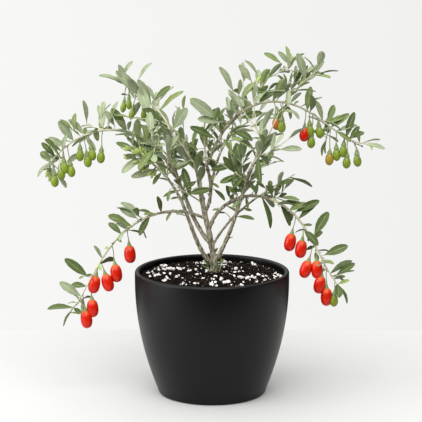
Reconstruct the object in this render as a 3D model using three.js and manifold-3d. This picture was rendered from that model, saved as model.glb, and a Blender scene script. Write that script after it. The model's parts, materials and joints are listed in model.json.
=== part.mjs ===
// A potted goji berry bush: pot, potting mix, trunk, boughs and masses of foliage with fruit.
// Millimetres, +Z up, front towards -Y. The origin is the centre of the pot's flat underside.
import * as THREE from 'three';
import { mergeVertices } from 'three/addons/utils/BufferGeometryUtils.js';
import Module from 'manifold-3d';

const wasm = await Module();
wasm.setup();

// Driving dimensions of the pot and its filling
const GAP = 0.3;
const POT = {
  height: 121.5, bellyRadius: 75, bellyHeight: 112, footTaper: 23.3, footRound: 3,
  wall: 4.6, floor: 6, innerTop: 110,
};
const POT_STEPS = { around: 36, foot: 3, outside: 8, lip: 5, inside: 3 };
const MIX = { edgeHeight: 115.5, crownHeight: 119.2, padRadius: 9, padEdge: 1, lump: 0.5, clearOfWall: 1.3 };
const MIX_STEPS = { around: 26, side: 3, mound: 4 };
const MIX_LUMPS = { aroundSlow: 5, aroundFast: 9, outward: 0.6 };
const SOIL_LEVEL = MIX.crownHeight + GAP;

// Driving dimensions of the plant
const TRUNK_FOOT = { x: 2, y: 4 };
const TRUNK_FLARE = { extra: 3.0, fade: 5.5, lobes: 3, depth: 0.16 };
const SIDES = { trunk: 9, bough: 6, stem: 3, twig: 3, fruit: 6 };
const STEP = { trunk: 8, bough: 13, stem: 12 };
const LIMB_STEPS = 32;
const TWIG_STEPS = 2;
const GOLDEN_ANGLE = 137.5;
const DRAWS_PER_NODE = 6;

// A leaf's shape: shares of its length, and half widths as shares of its half width
const LEAF = { widthShare: 0.31, thicknessShare: 0.026, fullness: 1.2, sunk: 0.15 };
const LEAF_OUTLINE = { shoulder: 0.34, belly: 0.73, shoulderWidth: 0.84, bellyWidth: 0.96, crest: 0.55 };

// How a leaf stands: degrees from its stem, size against the rule's leaf, bow of the blade, and
// how its face leans forward and rolls to the side
const STANCE = {
  spread: 38, spreadRange: 34, size: 0.66, sizeRange: 0.6, bow: 0.04, bowRange: 0.16,
  forward: 0.5, roll: 1.5,
};
// Leaf nodes along a stem: the first one's place, the scatter of their turn, the loss of size towards
// the tip; a second leaf at some nodes; and the leaf at the stem's tip
const NODES = { firstAt: 0.45, turnScatter: 40, tipLoss: 0.3, tipLossPower: 3 };
const SECOND_LEAF = { share: 0.05, angle: 150, size: 0.3 };
const TIP_LEAF = { at: 0.95, tilt: -0.9, size: 0.5 };

// Side twigs: their angle from the stem, where they stand on it, their size and scatter
const TWIG = {
  stemShare: 0.72, tipShare: 0.6, angle: 52, firstAt: 0.12, lastAt: 0.86, lift: 0.35,
  size: 0.65, sizeRange: 0.6, tipLoss: 0.3, turnScatter: 50, sagScatter: 0.5,
};
const STALK = { radius: 0.42, sunk: 1.6 };

// Two leaves of one node may touch, and a solid's corners are merged within these distances
const SAME_NODE = 1.5;
const SMOOTHED = 0.01;
const SAME_CORNER = 1e-5;

// The kinds of fruit: length, width, and the green neck where the stalk widens into it
const FRUIT = {
  ripe: { length: 17.6, width: 11.4, neck: 6, neckRadius: 2.1, rings: 4 },
  turning: { length: 12.5, width: 8.4, neck: 5, neckRadius: 1.9, rings: 3 },
  green: { length: 11.5, width: 8.2, neck: 6, neckRadius: 1.9, rings: 3 },
  bud: { length: 6.4, width: 3.0, neck: 2, neckRadius: 0.9, rings: 3 },
};

// A fruit: how far along its limb it hangs, its drop below the limb, its lean to the right, its kind
const fruit = (at, drop, lean, kind) => ({ at, drop, lean, kind });
const RIPE_LEFT = [
  fruit(0.45, 25, 2, 'ripe'), fruit(0.57, 28, 4, 'ripe'), fruit(0.67, 22, 6, 'ripe'),
  fruit(0.70, 19, -4, 'ripe'), fruit(0.79, 28, 2, 'ripe'), fruit(0.87, 26, 3, 'ripe'),
];
const RIPE_RIGHT = [
  fruit(0.56, 26, -5, 'ripe'), fruit(0.63, 22, -3, 'ripe'), fruit(0.73, 25, -8, 'ripe'),
  fruit(0.75, 22, 1, 'ripe'), fruit(0.84, 21, -4, 'ripe'), fruit(0.87, 28, 0, 'ripe'),
  fruit(0.95, 18, -1, 'green'),
];
const GREEN_LEFT = [
  fruit(0.71, 26, -2, 'green'), fruit(0.77, 20, 3, 'green'), fruit(0.79, 25, 3, 'green'),
  fruit(0.81, 17, 0, 'green'), fruit(0.87, 25, 3, 'green'), fruit(0.90, 17, 2, 'green'),
  fruit(0.92, 20, 2, 'green'), fruit(0.96, 20, 2, 'green'), fruit(0.98, 13, 0, 'bud'),
];
const GREEN_TOP = [
  fruit(0.76, 16, 1, 'green'), fruit(0.84, 20, -4, 'green'), fruit(0.92, 15, 0, 'green'),
  fruit(0.95, 20, -3, 'green'),
];
const MIXED_RIGHT = [
  fruit(0.48, 23, 0, 'turning'), fruit(0.52, 23, 4, 'green'), fruit(0.64, 25, -4, 'ripe'),
  fruit(0.66, 17, 3, 'green'), fruit(0.68, 29, 2, 'green'), fruit(0.71, 14, 4, 'green'),
  fruit(0.79, 31, -1, 'turning'), fruit(0.82, 23, 1, 'green'), fruit(0.87, 14, -1, 'green'),
  fruit(0.89, 23, -1, 'green'), fruit(0.93, 18, 2, 'green'),
];
const BUDS = [fruit(0.80, 12, -3, 'bud'), fruit(0.86, 15, 2, 'bud'), fruit(0.95, 12, -2, 'bud')];

// How foliage grows on a stem: space between leaf nodes, leaf length, side twigs and their length,
// lift of the leaves towards the light, sag of the twigs
const grow = (pitch, leaf, twigs, twigLength, lift, sag) => ({ pitch, leaf, twigs, twigLength, lift, sag });
const ARCH = grow(12, 22, 2, 18, 0.75, 0.1);
const SPRAY = grow(14.5, 22, 3, 30, 0.65, 0.2);
const BUSHY = grow(14, 22, 4, 34, 0.5, 0.25);
const SHOOT = grow(12.5, 21, 2, 24, 0.45, 0.4);

// The limbs. Heading 0 is to the right, 90 to the back; both angles ease through their listed values.
// A limb is bare wood up to its bare share and carries a mass of foliage from there on.
const limb = (from, at, heading, climb, length, radius, bare, growth = null, seed = 0, fruits = []) => (
  { from, at, heading, climb, length, radius, bare, growth, seed, fruits }
);
const LIMBS = {
  trunk: limb(null, 0, [150], [90, 62, 87], 94, [2.9, 2.3], 1),
  left_outer: limb('trunk', 0.06, [205, 190], [39, 102, 54, 28], 141, [2.3, 0.8], 0.68, BUSHY, 80, BUDS),
  upper_left: limb('trunk', 0.28, [150, 185, 190], [37, 134, -29, -52], 233, [2.2, 0.7], 0.4,
    SPRAY, 72, GREEN_LEFT),
  lower_left: limb('trunk', 0.55, [190, 192], [29, -19, -91, -48], 182, [1.5, 0.7], 0.26,
    ARCH, 394, RIPE_LEFT),
  lower_right: limb('trunk', 0.42, [352, 345], [78, 2, -109, -43], 192, [1.8, 0.7], 0.36,
    ARCH, 134, RIPE_RIGHT),
  right_outer: limb('trunk', 0.08, [335, 340], [56, 84, 62], 126, [2.2, 1.2], 1),
  right_thin: limb('trunk', 0.25, [25, 20], [61, 24, 26], 112, [1.3, 0.6], 0.56, SHOOT, 148),
  middle: limb('trunk', 0.62, [60], [23, 113, 117], 52, [1.8, 1.5], 1),
  upper_right: limb('middle', 1, [10, -5], [64, 87, -121, 2], 200, [1.6, 0.7], 0.3,
    SPRAY, 311, MIXED_RIGHT),
  top_left: limb('upper_left', 0.39, [110, 165], [147, -12, 41], 108, [1.4, 0.6], 0.3,
    BUSHY, 285, GREEN_TOP),
  top_right: limb('upper_right', 0.28, [35, 20], [94, -22, 44], 84, [1.0, 0.5], 0, SHOOT, 1234),
  right_crest: limb('upper_right', 0.53, [-15], [44, 65, 11], 47, [0.8, 0.5], 0, SHOOT, 1125),
  right_heart: limb('right_outer', 1, [350, 20], [50, 25, 10], 52, [1.1, 0.5], 0, BUSHY, 252),
  crown_left: limb('trunk', 1, [195, 160], [70, 45], 50, [1.5, 0.6], 0, BUSHY, 55),
  crown_low: limb('trunk', 0.72, [215, 190], [35, 30], 32, [0.9, 0.6], 0, SHOOT, 38),
  heart_low: limb('right_outer', 0.72, [195, 180], [40, 30], 30, [0.9, 0.6], 0, SHOOT, 152),
  crown_mid: limb('middle', 0.92, [140, 60], [75, 85], 56, [1.1, 0.6], 0, BUSHY, 134),
  front_left: limb('upper_left', 0.3, [255, 235], [60, 15], 74, [1.3, 0.6], 0.3, BUSHY, 183),
  front_right: limb('right_outer', 0.66, [285, 300], [62, 12], 76, [1.3, 0.6], 0.3, BUSHY, 199),
  back_left: limb('trunk', 0.84, [112, 128], [66, 12], 100, [1.4, 0.6], 0.35, BUSHY, 67),
  back_right: limb('middle', 0.45, [75, 52], [62, 8], 104, [1.4, 0.6], 0.36, BUSHY, 122),
};
// The crest is a shoot of the upper right mass, so the two are one solid
const FUSED_INTO = { right_crest: 'upper_right' };

const UP = new THREE.Vector3(0, 0, 1);
const RIGHT = new THREE.Vector3(1, 0, 0);
const NEARLY_UPRIGHT = 0.97;
const radians = THREE.MathUtils.degToRad;
const lerp = THREE.MathUtils.lerp;

// A small repeatable source of random numbers between 0 and 1
const DICE = { stride: 7919, start: 17, factor: 48271, modulus: 2 ** 31 - 1 };
function dice(seed) {
  let state = seed * DICE.stride + DICE.start;
  return () => {
    state = (state * DICE.factor) % DICE.modulus;
    return state / DICE.modulus;
  };
}

function draw(random) {
  return Array.from({ length: DRAWS_PER_NODE }, () => random());
}

// A value that eases through a list, as a Bezier curve does
function eased(values, t) {
  let row = values;
  while (row.length > 1) row = row.slice(1).map((value, i) => lerp(row[i], value, t));
  return row[0];
}

function direction(heading, climb) {
  const flat = Math.cos(radians(climb));
  return new THREE.Vector3(
    flat * Math.cos(radians(heading)), flat * Math.sin(radians(heading)), Math.sin(radians(climb)),
  );
}

// A path is a run of points with the direction of growth at each
function makePath(start, directionAt, length, count) {
  const points = [start.clone()];
  const dirs = [directionAt(0)];
  for (let i = 0; i < count; i += 1) {
    points.push(points[i].clone().addScaledVector(directionAt((i + 0.5) / count), length / count));
    dirs.push(directionAt((i + 1) / count));
  }
  return { points, dirs, length };
}

function at(path, share) {
  const place = THREE.MathUtils.clamp(share, 0, 1) * (path.points.length - 1);
  const i = Math.min(Math.floor(place), path.points.length - 2);
  return {
    point: path.points[i].clone().lerp(path.points[i + 1], place - i),
    dir: path.dirs[i].clone().lerp(path.dirs[i + 1], place - i).normalize(),
  };
}

// The stretch of a path between two shares of its length, in even steps of about the given length
function stretch(path, first, last, step) {
  const length = path.length * (last - first);
  const count = Math.max(1, Math.round(length / step));
  const nodes = Array.from({ length: count + 1 }, (_, i) => at(path, lerp(first, last, i / count)));
  return { points: nodes.map((node) => node.point), dirs: nodes.map((node) => node.dir), length };
}

function limbPath(name) {
  const spec = LIMBS[name];
  const start = spec.from
    ? at(limbPath(spec.from), spec.at).point
    : new THREE.Vector3(TRUNK_FOOT.x, TRUNK_FOOT.y, SOIL_LEVEL);
  const directionAt = (t) => direction(eased(spec.heading, t), eased(spec.climb, t));
  return makePath(start, directionAt, spec.length, LIMB_STEPS);
}

function limbRadius(spec, share) {
  return lerp(spec.radius[0], spec.radius[1], share);
}

// A side direction of a stem, at an angle round it that starts from the upper side
function sideways(dir, angle) {
  const upright = Math.abs(dir.z) > NEARLY_UPRIGHT ? RIGHT : UP;
  const high = upright.clone().addScaledVector(dir, -upright.dot(dir)).normalize();
  const across = dir.clone().cross(high);
  return high.multiplyScalar(Math.cos(radians(angle))).addScaledVector(across, Math.sin(radians(angle)));
}

// The frames along a path: each turns as little as it can from the last
function framesAlong(path) {
  let normal = sideways(path.dirs[0], 0);
  return path.dirs.map((dir) => {
    normal = normal.clone().addScaledVector(dir, -normal.dot(dir)).normalize();
    return { normal, binormal: normal.clone().cross(dir) };
  });
}

// A closed mesh as a solid, with its shared corners merged
function solid(geometry) {
  geometry.deleteAttribute('normal');
  geometry.deleteAttribute('uv');
  const merged = mergeVertices(geometry, SAME_CORNER);
  const corners = merged.index.array;
  const kept = [];
  for (let i = 0; i < corners.length; i += 3) {
    const [a, b, c] = corners.slice(i, i + 3);
    if (a !== b && b !== c && c !== a) kept.push(a, b, c);
  }
  return new wasm.Manifold(new wasm.Mesh({
    numProp: 3,
    vertProperties: Float32Array.from(merged.attributes.position.array),
    triVerts: Uint32Array.from(kept),
  }));
}

// Every vertex of a geometry moved to its place
function reshape(geometry, place) {
  const position = geometry.attributes.position;
  const vertex = new THREE.Vector3();
  for (let i = 0; i < position.count; i += 1) {
    vertex.fromBufferAttribute(position, i);
    place(vertex);
    position.setXYZ(i, vertex.x, vertex.y, vertex.z);
  }
  return geometry;
}

// A round limb: a cylinder whose rings are laid along a path
function tube(path, sides, radiusAt) {
  const steps = path.points.length - 1;
  const frames = framesAlong(path);
  const geometry = reshape(new THREE.CylinderGeometry(1, 1, 1, sides, steps), (vertex) => {
    const ring = Math.round((vertex.y + 0.5) * steps);
    const { normal, binormal } = frames[ring];
    const radius = radiusAt(ring / steps, Math.atan2(vertex.z, vertex.x));
    const { x, z } = vertex;
    vertex.copy(path.points[ring]).addScaledVector(normal, x * radius)
      .addScaledVector(binormal, z * radius);
  });
  return solid(geometry);
}

// A leaf: a flat double pyramid on a six-sided outline, bowed down towards its tip.
// It is a ball of six columns and two rows: a column's x picks its station, its z picks the side.
function leafSolid({ root, along, up, length, bow }) {
  const full = length * LEAF.fullness;
  const across = along.clone().cross(up);
  const halfWidth = (full * LEAF.widthShare) / 2;
  const halfThickness = (full * LEAF.thicknessShare) / 2;
  const stations = [0, LEAF_OUTLINE.shoulder, LEAF_OUTLINE.crest, LEAF_OUTLINE.belly, 1];
  const widths = [0, LEAF_OUTLINE.shoulderWidth, 0, LEAF_OUTLINE.bellyWidth, 0];
  const geometry = reshape(new THREE.SphereGeometry(1, 6, 2), (vertex) => {
    const column = Math.round((vertex.x + 1) * 2);
    const share = stations[column];
    const side = Math.round(vertex.z) * widths[column] * halfWidth;
    const lift = Math.round(vertex.y) * halfThickness - bow * full * share * share;
    vertex.copy(root).addScaledVector(along, share * full).addScaledVector(across, side)
      .addScaledVector(up, lift);
  });
  return solid(geometry);
}

// A fruit on its stalk: the stalk curves down from the limb and widens into the neck
function fruitSolids({ root, drop, lean, kind }) {
  const { length, width, neck, neckRadius, rings } = FRUIT[kind];
  const hang = new THREE.Vector3(lean / drop, 0, -1).normalize();
  const centre = root.clone().add(new THREE.Vector3(lean, 0, -drop));
  const top = centre.clone().addScaledVector(hang, -length / 2);
  const side = sideways(hang, 0);
  const across = side.clone().cross(hang);
  const berry = reshape(new THREE.SphereGeometry(1, SIDES.fruit, rings), (vertex) => {
    const { x, y, z } = vertex;
    vertex.copy(centre).addScaledVector(hang, (y * length) / 2)
      .addScaledVector(side, (x * width) / 2).addScaledVector(across, (z * width) / 2);
  });
  const neckTop = top.clone().addScaledVector(hang, -neck);
  const points = [root.clone(), neckTop, top.clone().addScaledVector(hang, STALK.sunk)];
  const first = neckTop.clone().sub(root).normalize();
  const path = { points, dirs: [first, hang, hang], length: drop };
  const radii = [STALK.radius, STALK.radius, neckRadius];
  const stalk = tube(path, SIDES.twig, (t) => radii[Math.round(t * 2)]);
  return [solid(berry), stalk];
}

// The leaf at a node: its direction leaves the stem, is lifted to the light and bows down
function leafAt(node, angle, rule, sizes) {
  const [tilt, size, roll, bow] = sizes;
  const side = sideways(node.dir, angle).addScaledVector(UP, rule.lift).normalize();
  const spread = radians(STANCE.spread + STANCE.spreadRange * tilt);
  const along = node.dir.clone().multiplyScalar(Math.cos(spread)).addScaledVector(side, Math.sin(spread));
  along.normalize();
  const facing = UP.clone().addScaledVector(node.dir, STANCE.forward)
    .addScaledVector(sideways(node.dir, 90), STANCE.roll * (roll - 0.5));
  const up = facing.addScaledVector(along, -facing.dot(along)).normalize();
  const root = node.point.clone().addScaledVector(along, -LEAF.sunk);
  const length = rule.leaf * (STANCE.size + STANCE.sizeRange * size);
  return { root, along, up, length, bow: STANCE.bow + STANCE.bowRange * bow };
}

// The leaves of a twig: nodes a golden angle apart, some with a second smaller leaf, and a tip leaf
function leavesOn(path, rule, random) {
  const count = Math.max(1, Math.round(path.length / rule.pitch));
  const start = 360 * random();
  const leaves = [];
  for (let i = 0; i < count; i += 1) {
    const [turn, tilt, size, roll, bow, second] = draw(random);
    const share = (i + NODES.firstAt) / count;
    const node = at(path, share);
    const angle = start + GOLDEN_ANGLE * i + NODES.turnScatter * (turn - 0.5);
    const grown = size * (1 - NODES.tipLoss * share ** NODES.tipLossPower);
    leaves.push(leafAt(node, angle, rule, [tilt, grown, roll, bow]));
    if (second < SECOND_LEAF.share) {
      const opposite = [roll, size * SECOND_LEAF.size, bow, tilt];
      leaves.push(leafAt(node, angle + SECOND_LEAF.angle, rule, opposite));
    }
  }
  const [turn, , size, roll, bow] = draw(random);
  const last = [TIP_LEAF.tilt, size * TIP_LEAF.size, roll, bow];
  leaves.push(leafAt(at(path, TIP_LEAF.at), 360 * turn, rule, last));
  return leaves;
}

// A side twig leaves its stem at an angle and sags or rises as it grows
function twigPath(node, angle, length, sag) {
  const side = sideways(node.dir, angle).addScaledVector(UP, TWIG.lift).normalize();
  const spread = radians(TWIG.angle);
  const first = node.dir.clone().multiplyScalar(Math.cos(spread)).addScaledVector(side, Math.sin(spread));
  const directionAt = (t) => first.clone().addScaledVector(UP, sag * t).normalize();
  return makePath(node.point, directionAt, length, TWIG_STEPS);
}

// Everything that grows on one limb past its bare part, before any of it is left out
function growth(name) {
  const spec = LIMBS[name];
  const path = limbPath(name);
  const random = dice(spec.seed);
  const rule = spec.growth;
  const first = spec.bare + (spec.bare > 0 ? GAP / spec.length : 0);
  const leafy = stretch(path, first, 1, STEP.stem);
  const leaves = leavesOn(leafy, rule, random);
  const twigs = [];
  const start = 360 * random();
  for (let i = 0; i < rule.twigs; i += 1) {
    const [turn, size, rise] = draw(random);
    const share = lerp(TWIG.firstAt, TWIG.lastAt, rule.twigs > 1 ? i / (rule.twigs - 1) : 0.5);
    const angle = start + GOLDEN_ANGLE * i + TWIG.turnScatter * (turn - 0.5);
    const length = rule.twigLength * (TWIG.size + TWIG.sizeRange * size) * (1 - TWIG.tipLoss * share);
    const sag = rule.sag + TWIG.sagScatter * (rise - 0.5);
    const twig = twigPath(at(leafy, share), angle, length, sag);
    const radius = TWIG.stemShare * limbRadius(spec, lerp(first, 1, share));
    twigs.push({ path: twig, radius, leaves: leavesOn(twig, rule, random) });
  }
  const fruits = spec.fruits.map((item) => ({ ...item, root: at(path, item.at).point }));
  return { stem: leafy, first, leaves, twigs, fruits };
}

// A limb's bare wood, grown by a clearance where it has to cut its neighbours back
function woodSolid(name, clearance) {
  const spec = LIMBS[name];
  const isTrunk = name === 'trunk';
  const path = stretch(limbPath(name), 0, spec.bare, isTrunk ? STEP.trunk : STEP.bough);
  if (isTrunk) path.dirs[0] = UP.clone();
  const last = path.points.length - 1;
  path.points[last].addScaledVector(path.dirs[last], clearance);
  return tube(path, isTrunk ? SIDES.trunk : SIDES.bough, (t, angle) => {
    const flare = isTrunk ? TRUNK_FLARE.extra * Math.exp((-t * path.length) / TRUNK_FLARE.fade) : 0;
    const lobes = 1 + TRUNK_FLARE.depth * Math.cos(TRUNK_FLARE.lobes * angle);
    return limbRadius(spec, t * spec.bare) + flare * lobes + clearance;
  });
}

function largestPiece(shape) {
  const pieces = shape.decompose();
  return pieces.reduce((best, piece) => (piece.volume() > best.volume() ? piece : best));
}

// The solids placed so far, each with its owner, so that new ones can keep clear of them
const placed = [];
function remember(owner, shape) {
  placed.push({ owner, shape, box: shape.boundingBox() });
}

function isClear(owner, shape) {
  const box = shape.boundingBox();
  return placed.every((other) => {
    if (other.owner === owner) return true;
    const apart = [0, 1, 2].some((k) => (
      box.min[k] > other.box.max[k] + GAP || other.box.min[k] > box.max[k] + GAP
    ));
    return apart || shape.minGap(other.shape, 2 * GAP) >= GAP;
  });
}

// A leaf that would cut through an earlier one of its own mass is left out, but not one of its node
const blades = [];
function crossesLeaf(owner, blade, root) {
  return blades.some((other) => other.owner === owner && other.root.distanceTo(root) > SAME_NODE
    && !blade.intersect(other.blade).isEmpty());
}

function meshOf(name, shape, material) {
  const { vertProperties, triVerts } = shape.getMesh();
  const geometry = new THREE.BufferGeometry();
  geometry.setAttribute('position', new THREE.BufferAttribute(Float32Array.from(vertProperties), 3));
  geometry.setIndex(new THREE.BufferAttribute(Uint32Array.from(triVerts), 1));
  geometry.computeVertexNormals();
  const mesh = new THREE.Mesh(geometry, material);
  mesh.name = name;
  return mesh;
}

const finish = (color, roughness) => new THREE.MeshStandardMaterial({ color, roughness, metalness: 0 });
const MATERIALS = {
  pot: finish(0x2b2c2d, 0.6),
  mix: finish(0x2a201a, 0.95),
  bark: finish(0x9a8c74, 0.85),
  foliage: finish(0x6c8758, 0.7),
};

// The pot: a bellied wall with a soft round rim, closed by a flat floor
function outerRadius(height) {
  return POT.bellyRadius - POT.footTaper * (1 - Math.min(height, POT.bellyHeight) / POT.bellyHeight) ** 2;
}

function potSolid() {
  const outline = [new THREE.Vector2(0, 0)];
  for (let i = 0; i <= POT_STEPS.foot; i += 1) {
    const turn = (i / POT_STEPS.foot) * (Math.PI / 2);
    const r = outerRadius(POT.footRound) - POT.footRound * (1 - Math.sin(turn));
    outline.push(new THREE.Vector2(r, POT.footRound * (1 - Math.cos(turn))));
  }
  const rise = POT.bellyHeight - POT.footRound;
  for (let i = 1; i <= POT_STEPS.outside; i += 1) {
    const height = POT.footRound + (rise * i) / POT_STEPS.outside;
    outline.push(new THREE.Vector2(outerRadius(height), height));
  }
  const lip = POT.wall / 2;
  const lipCentre = POT.bellyRadius - lip - GAP;
  const lipHeight = POT.height - lip;
  for (let i = 0; i <= POT_STEPS.lip; i += 1) {
    const turn = (i / POT_STEPS.lip) * Math.PI;
    outline.push(new THREE.Vector2(lipCentre + lip * Math.cos(turn), lipHeight + lip * Math.sin(turn)));
  }
  for (let i = POT_STEPS.inside; i >= 0; i -= 1) {
    const height = lerp(POT.floor, POT.innerTop, i / POT_STEPS.inside);
    outline.push(new THREE.Vector2(outerRadius(height) - POT.wall, height));
  }
  outline.push(new THREE.Vector2(0, POT.floor));
  return solid(reshape(new THREE.LatheGeometry(outline, POT_STEPS.around), (vertex) => {
    vertex.set(vertex.x, -vertex.z, vertex.y);
  }));
}

// The potting mix fills the pot to just under the rim, with a gentle lumpy mound round the trunk
function mixSolid() {
  const outerAt = (height) => outerRadius(height) - POT.wall - MIX.clearOfWall;
  const floor = POT.floor + GAP;
  const edge = outerAt(MIX.edgeHeight);
  const outline = [new THREE.Vector2(0, floor)];
  for (let i = 0; i <= MIX_STEPS.side; i += 1) {
    const height = lerp(floor, MIX.edgeHeight, i / MIX_STEPS.side);
    outline.push(new THREE.Vector2(outerAt(height), height));
  }
  for (let i = 1; i <= MIX_STEPS.mound; i += 1) {
    const share = i / MIX_STEPS.mound;
    const height = lerp(MIX.edgeHeight, MIX.crownHeight, Math.sin(share * (Math.PI / 2)));
    outline.push(new THREE.Vector2(lerp(edge, MIX.padRadius, share), height));
  }
  outline.push(new THREE.Vector2(0, MIX.crownHeight));
  return solid(reshape(new THREE.LatheGeometry(outline, MIX_STEPS.around), (vertex) => {
    const r = Math.hypot(vertex.x, vertex.z);
    const angle = Math.atan2(vertex.z, vertex.x);
    const open = vertex.y > MIX.edgeHeight + SMOOTHED && r > MIX.padRadius + MIX.padEdge;
    const waves = Math.sin(MIX_LUMPS.aroundSlow * angle + r)
      + Math.cos(MIX_LUMPS.aroundFast * angle + MIX_LUMPS.outward * r);
    vertex.set(vertex.x, -vertex.z, vertex.y + (open ? MIX.lump * waves : 0));
  }));
}

const bush = new THREE.Group();
bush.add(meshOf('pot', potSolid(), MATERIALS.pot));
bush.add(meshOf('potting_mix', mixSolid(), MATERIALS.mix));

// The wood: each bough is cut clear of the limbs that were made before it
const wooded = Object.keys(LIMBS).filter((name) => LIMBS[name].bare > 0);
const clearances = [];
for (const name of wooded) {
  let wood = woodSolid(name, 0);
  for (const clearance of clearances) wood = wood.subtract(clearance);
  wood = largestPiece(wood);
  clearances.push(woodSolid(name, GAP));
  remember(name, wood);
  bush.add(meshOf(name === 'trunk' ? name : `bough_${name}`, wood, MATERIALS.bark));
}

// The masses: every stem and its fruit come first, then twigs and leaves where there is room
const leafyLimbs = Object.keys(LIMBS).filter((name) => LIMBS[name].growth);
const plans = new Map(leafyLimbs.map((name) => [name, growth(name)]));
const masses = new Map();
const ownerOf = (name) => FUSED_INTO[name] ?? name;

function add(name, shape) {
  const owner = ownerOf(name);
  if (!masses.has(owner)) masses.set(owner, []);
  masses.get(owner).push(shape);
  remember(`foliage_${owner}`, shape);
}

for (const [name, plan] of plans) {
  const spec = LIMBS[name];
  let stem = tube(plan.stem, SIDES.stem, (t) => limbRadius(spec, lerp(plan.first, 1, t)));
  for (const clearance of clearances) stem = stem.subtract(clearance);
  add(name, largestPiece(stem));
}
for (const [name, plan] of plans) {
  for (const item of plan.fruits) {
    const [berry, stalk] = fruitSolids(item);
    if (isClear(`foliage_${ownerOf(name)}`, berry)) {
      add(name, berry);
      add(name, stalk);
    }
  }
}
for (const [name, plan] of plans) {
  const owner = `foliage_${ownerOf(name)}`;
  for (const twig of plan.twigs) {
    const wood = tube(twig.path, SIDES.twig, (t) => twig.radius * lerp(1, TWIG.tipShare, t));
    twig.grown = isClear(owner, wood);
    if (twig.grown) add(name, wood);
  }
}
for (const [name, plan] of plans) {
  const owner = `foliage_${ownerOf(name)}`;
  const twigLeaves = plan.twigs.filter((twig) => twig.grown).flatMap((twig) => twig.leaves);
  for (const leaf of [...plan.leaves, ...twigLeaves]) {
    const blade = leafSolid(leaf);
    if (isClear(owner, blade) && !crossesLeaf(owner, blade, leaf.root)) {
      add(name, blade);
      blades.push({ owner, blade, root: leaf.root });
    }
  }
}

for (const [owner, shapes] of masses) {
  const mass = largestPiece(wasm.Manifold.union(shapes).simplify(SMOOTHED));
  bush.add(meshOf(`foliage_${owner}`, mass, MATERIALS.foliage));
}

export default bush;
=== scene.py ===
"""A potted goji berry bush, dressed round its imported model: pot, potting mix, wood, leaves, twigs and fruit.

The plant's sizes are in millimetres, as the growth rule gives them, and MM turns them into Blender's metres.
+Z is up and the front of the plant faces -Y.
"""

import json
import math
from collections import namedtuple
from contextlib import contextmanager

import bmesh
import bpy
import numpy as np
from bpy.props import FloatProperty, FloatVectorProperty, IntProperty, PointerProperty
from mathutils import Matrix, Vector, noise

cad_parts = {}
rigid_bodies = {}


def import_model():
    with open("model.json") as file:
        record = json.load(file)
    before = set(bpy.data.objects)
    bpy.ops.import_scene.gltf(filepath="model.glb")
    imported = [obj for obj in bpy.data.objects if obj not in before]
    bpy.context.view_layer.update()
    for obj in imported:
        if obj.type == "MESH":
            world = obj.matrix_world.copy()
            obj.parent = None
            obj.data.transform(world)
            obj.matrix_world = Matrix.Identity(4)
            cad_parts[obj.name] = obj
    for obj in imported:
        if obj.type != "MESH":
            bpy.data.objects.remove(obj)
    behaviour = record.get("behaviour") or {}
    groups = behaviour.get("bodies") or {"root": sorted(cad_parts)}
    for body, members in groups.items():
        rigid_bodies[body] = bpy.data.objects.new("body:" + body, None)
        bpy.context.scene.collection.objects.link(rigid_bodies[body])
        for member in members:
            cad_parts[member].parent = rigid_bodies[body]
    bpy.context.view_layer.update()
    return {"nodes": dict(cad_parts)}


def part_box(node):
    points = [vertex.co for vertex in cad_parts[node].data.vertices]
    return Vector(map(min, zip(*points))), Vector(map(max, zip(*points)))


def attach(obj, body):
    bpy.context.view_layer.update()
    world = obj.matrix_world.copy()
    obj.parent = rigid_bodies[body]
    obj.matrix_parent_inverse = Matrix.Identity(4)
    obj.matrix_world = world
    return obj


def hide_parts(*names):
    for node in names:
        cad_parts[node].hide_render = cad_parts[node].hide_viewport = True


bl_info = {
    "name": "Potted Goji Berry Bush",
    "version": (1, 0, 0),
    "blender": (4, 5, 0),
    "location": "View3D > Sidebar > Bush",
    "description": "Builds a goji berry bush with its fruit in a matt pot",
    "category": "Add Mesh",
}

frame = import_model()

MM = 0.001
UP = Vector((0.0, 0.0, 1.0))
RIGHT = Vector((1.0, 0.0, 0.0))
NEARLY_UPRIGHT = 0.97
FOLIAGE_NODES = sorted(name for name in frame["nodes"] if name.startswith("foliage_"))
WOOD_NODES = sorted(name for name in frame["nodes"] if name == "trunk" or name.startswith("bough_"))

# The pot and its filling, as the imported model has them
POT_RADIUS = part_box("pot")[1].x / MM
POT_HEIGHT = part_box("pot")[1].z / MM
POT_BELLY_HEIGHT = 112.0
POT_FOOT_TAPER = 23.3
POT_FOOT_ROUND = 3.0
POT_WALL = 4.6
POT_FLOOR = 6.0
MIX_EDGE_HEIGHT = 115.5
MIX_CROWN_HEIGHT = 119.2
SOIL_LEVEL = 119.5
TRUNK_FOOT = (2.0, 4.0)

# How the growth rule draws its chances
DICE_STRIDE = 7919
DICE_START = 17
DICE_FACTOR = 48271
DICE_MODULUS = 2 ** 31 - 1
DRAWS_PER_NODE = 6
GOLDEN_ANGLE = 137.5
LIMB_STEPS = 32
TWIG_STEPS = 2
STEM_STEP = 12.0
LIMB_GAP = 0.3

# A leaf's stance at its node, and the leaves along a stem
Stance = namedtuple("Stance", "spread spread_range size size_range bow bow_range forward roll")
STANCE = Stance(38, 34, 0.66, 0.6, 0.04, 0.16, 0.5, 1.5)
LEAF_SUNK = 0.15
FIRST_NODE_AT = 0.45
NODE_TURN_SCATTER = 40
TIP_LOSS = 0.3
SECOND_LEAF_SHARE = 0.05
SECOND_LEAF_ANGLE = 150
SECOND_LEAF_SIZE = 0.3
TIP_LEAF_AT = 0.95
TIP_LEAF_TILT = -0.9
TIP_LEAF_SIZE = 0.5
Twigs = namedtuple("Twigs", "stem_share angle first_at last_at lift size size_range tip_loss turn sag")
TWIGS = Twigs(0.72, 52, 0.12, 0.86, 0.35, 0.65, 0.6, 0.3, 50, 0.5)

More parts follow.
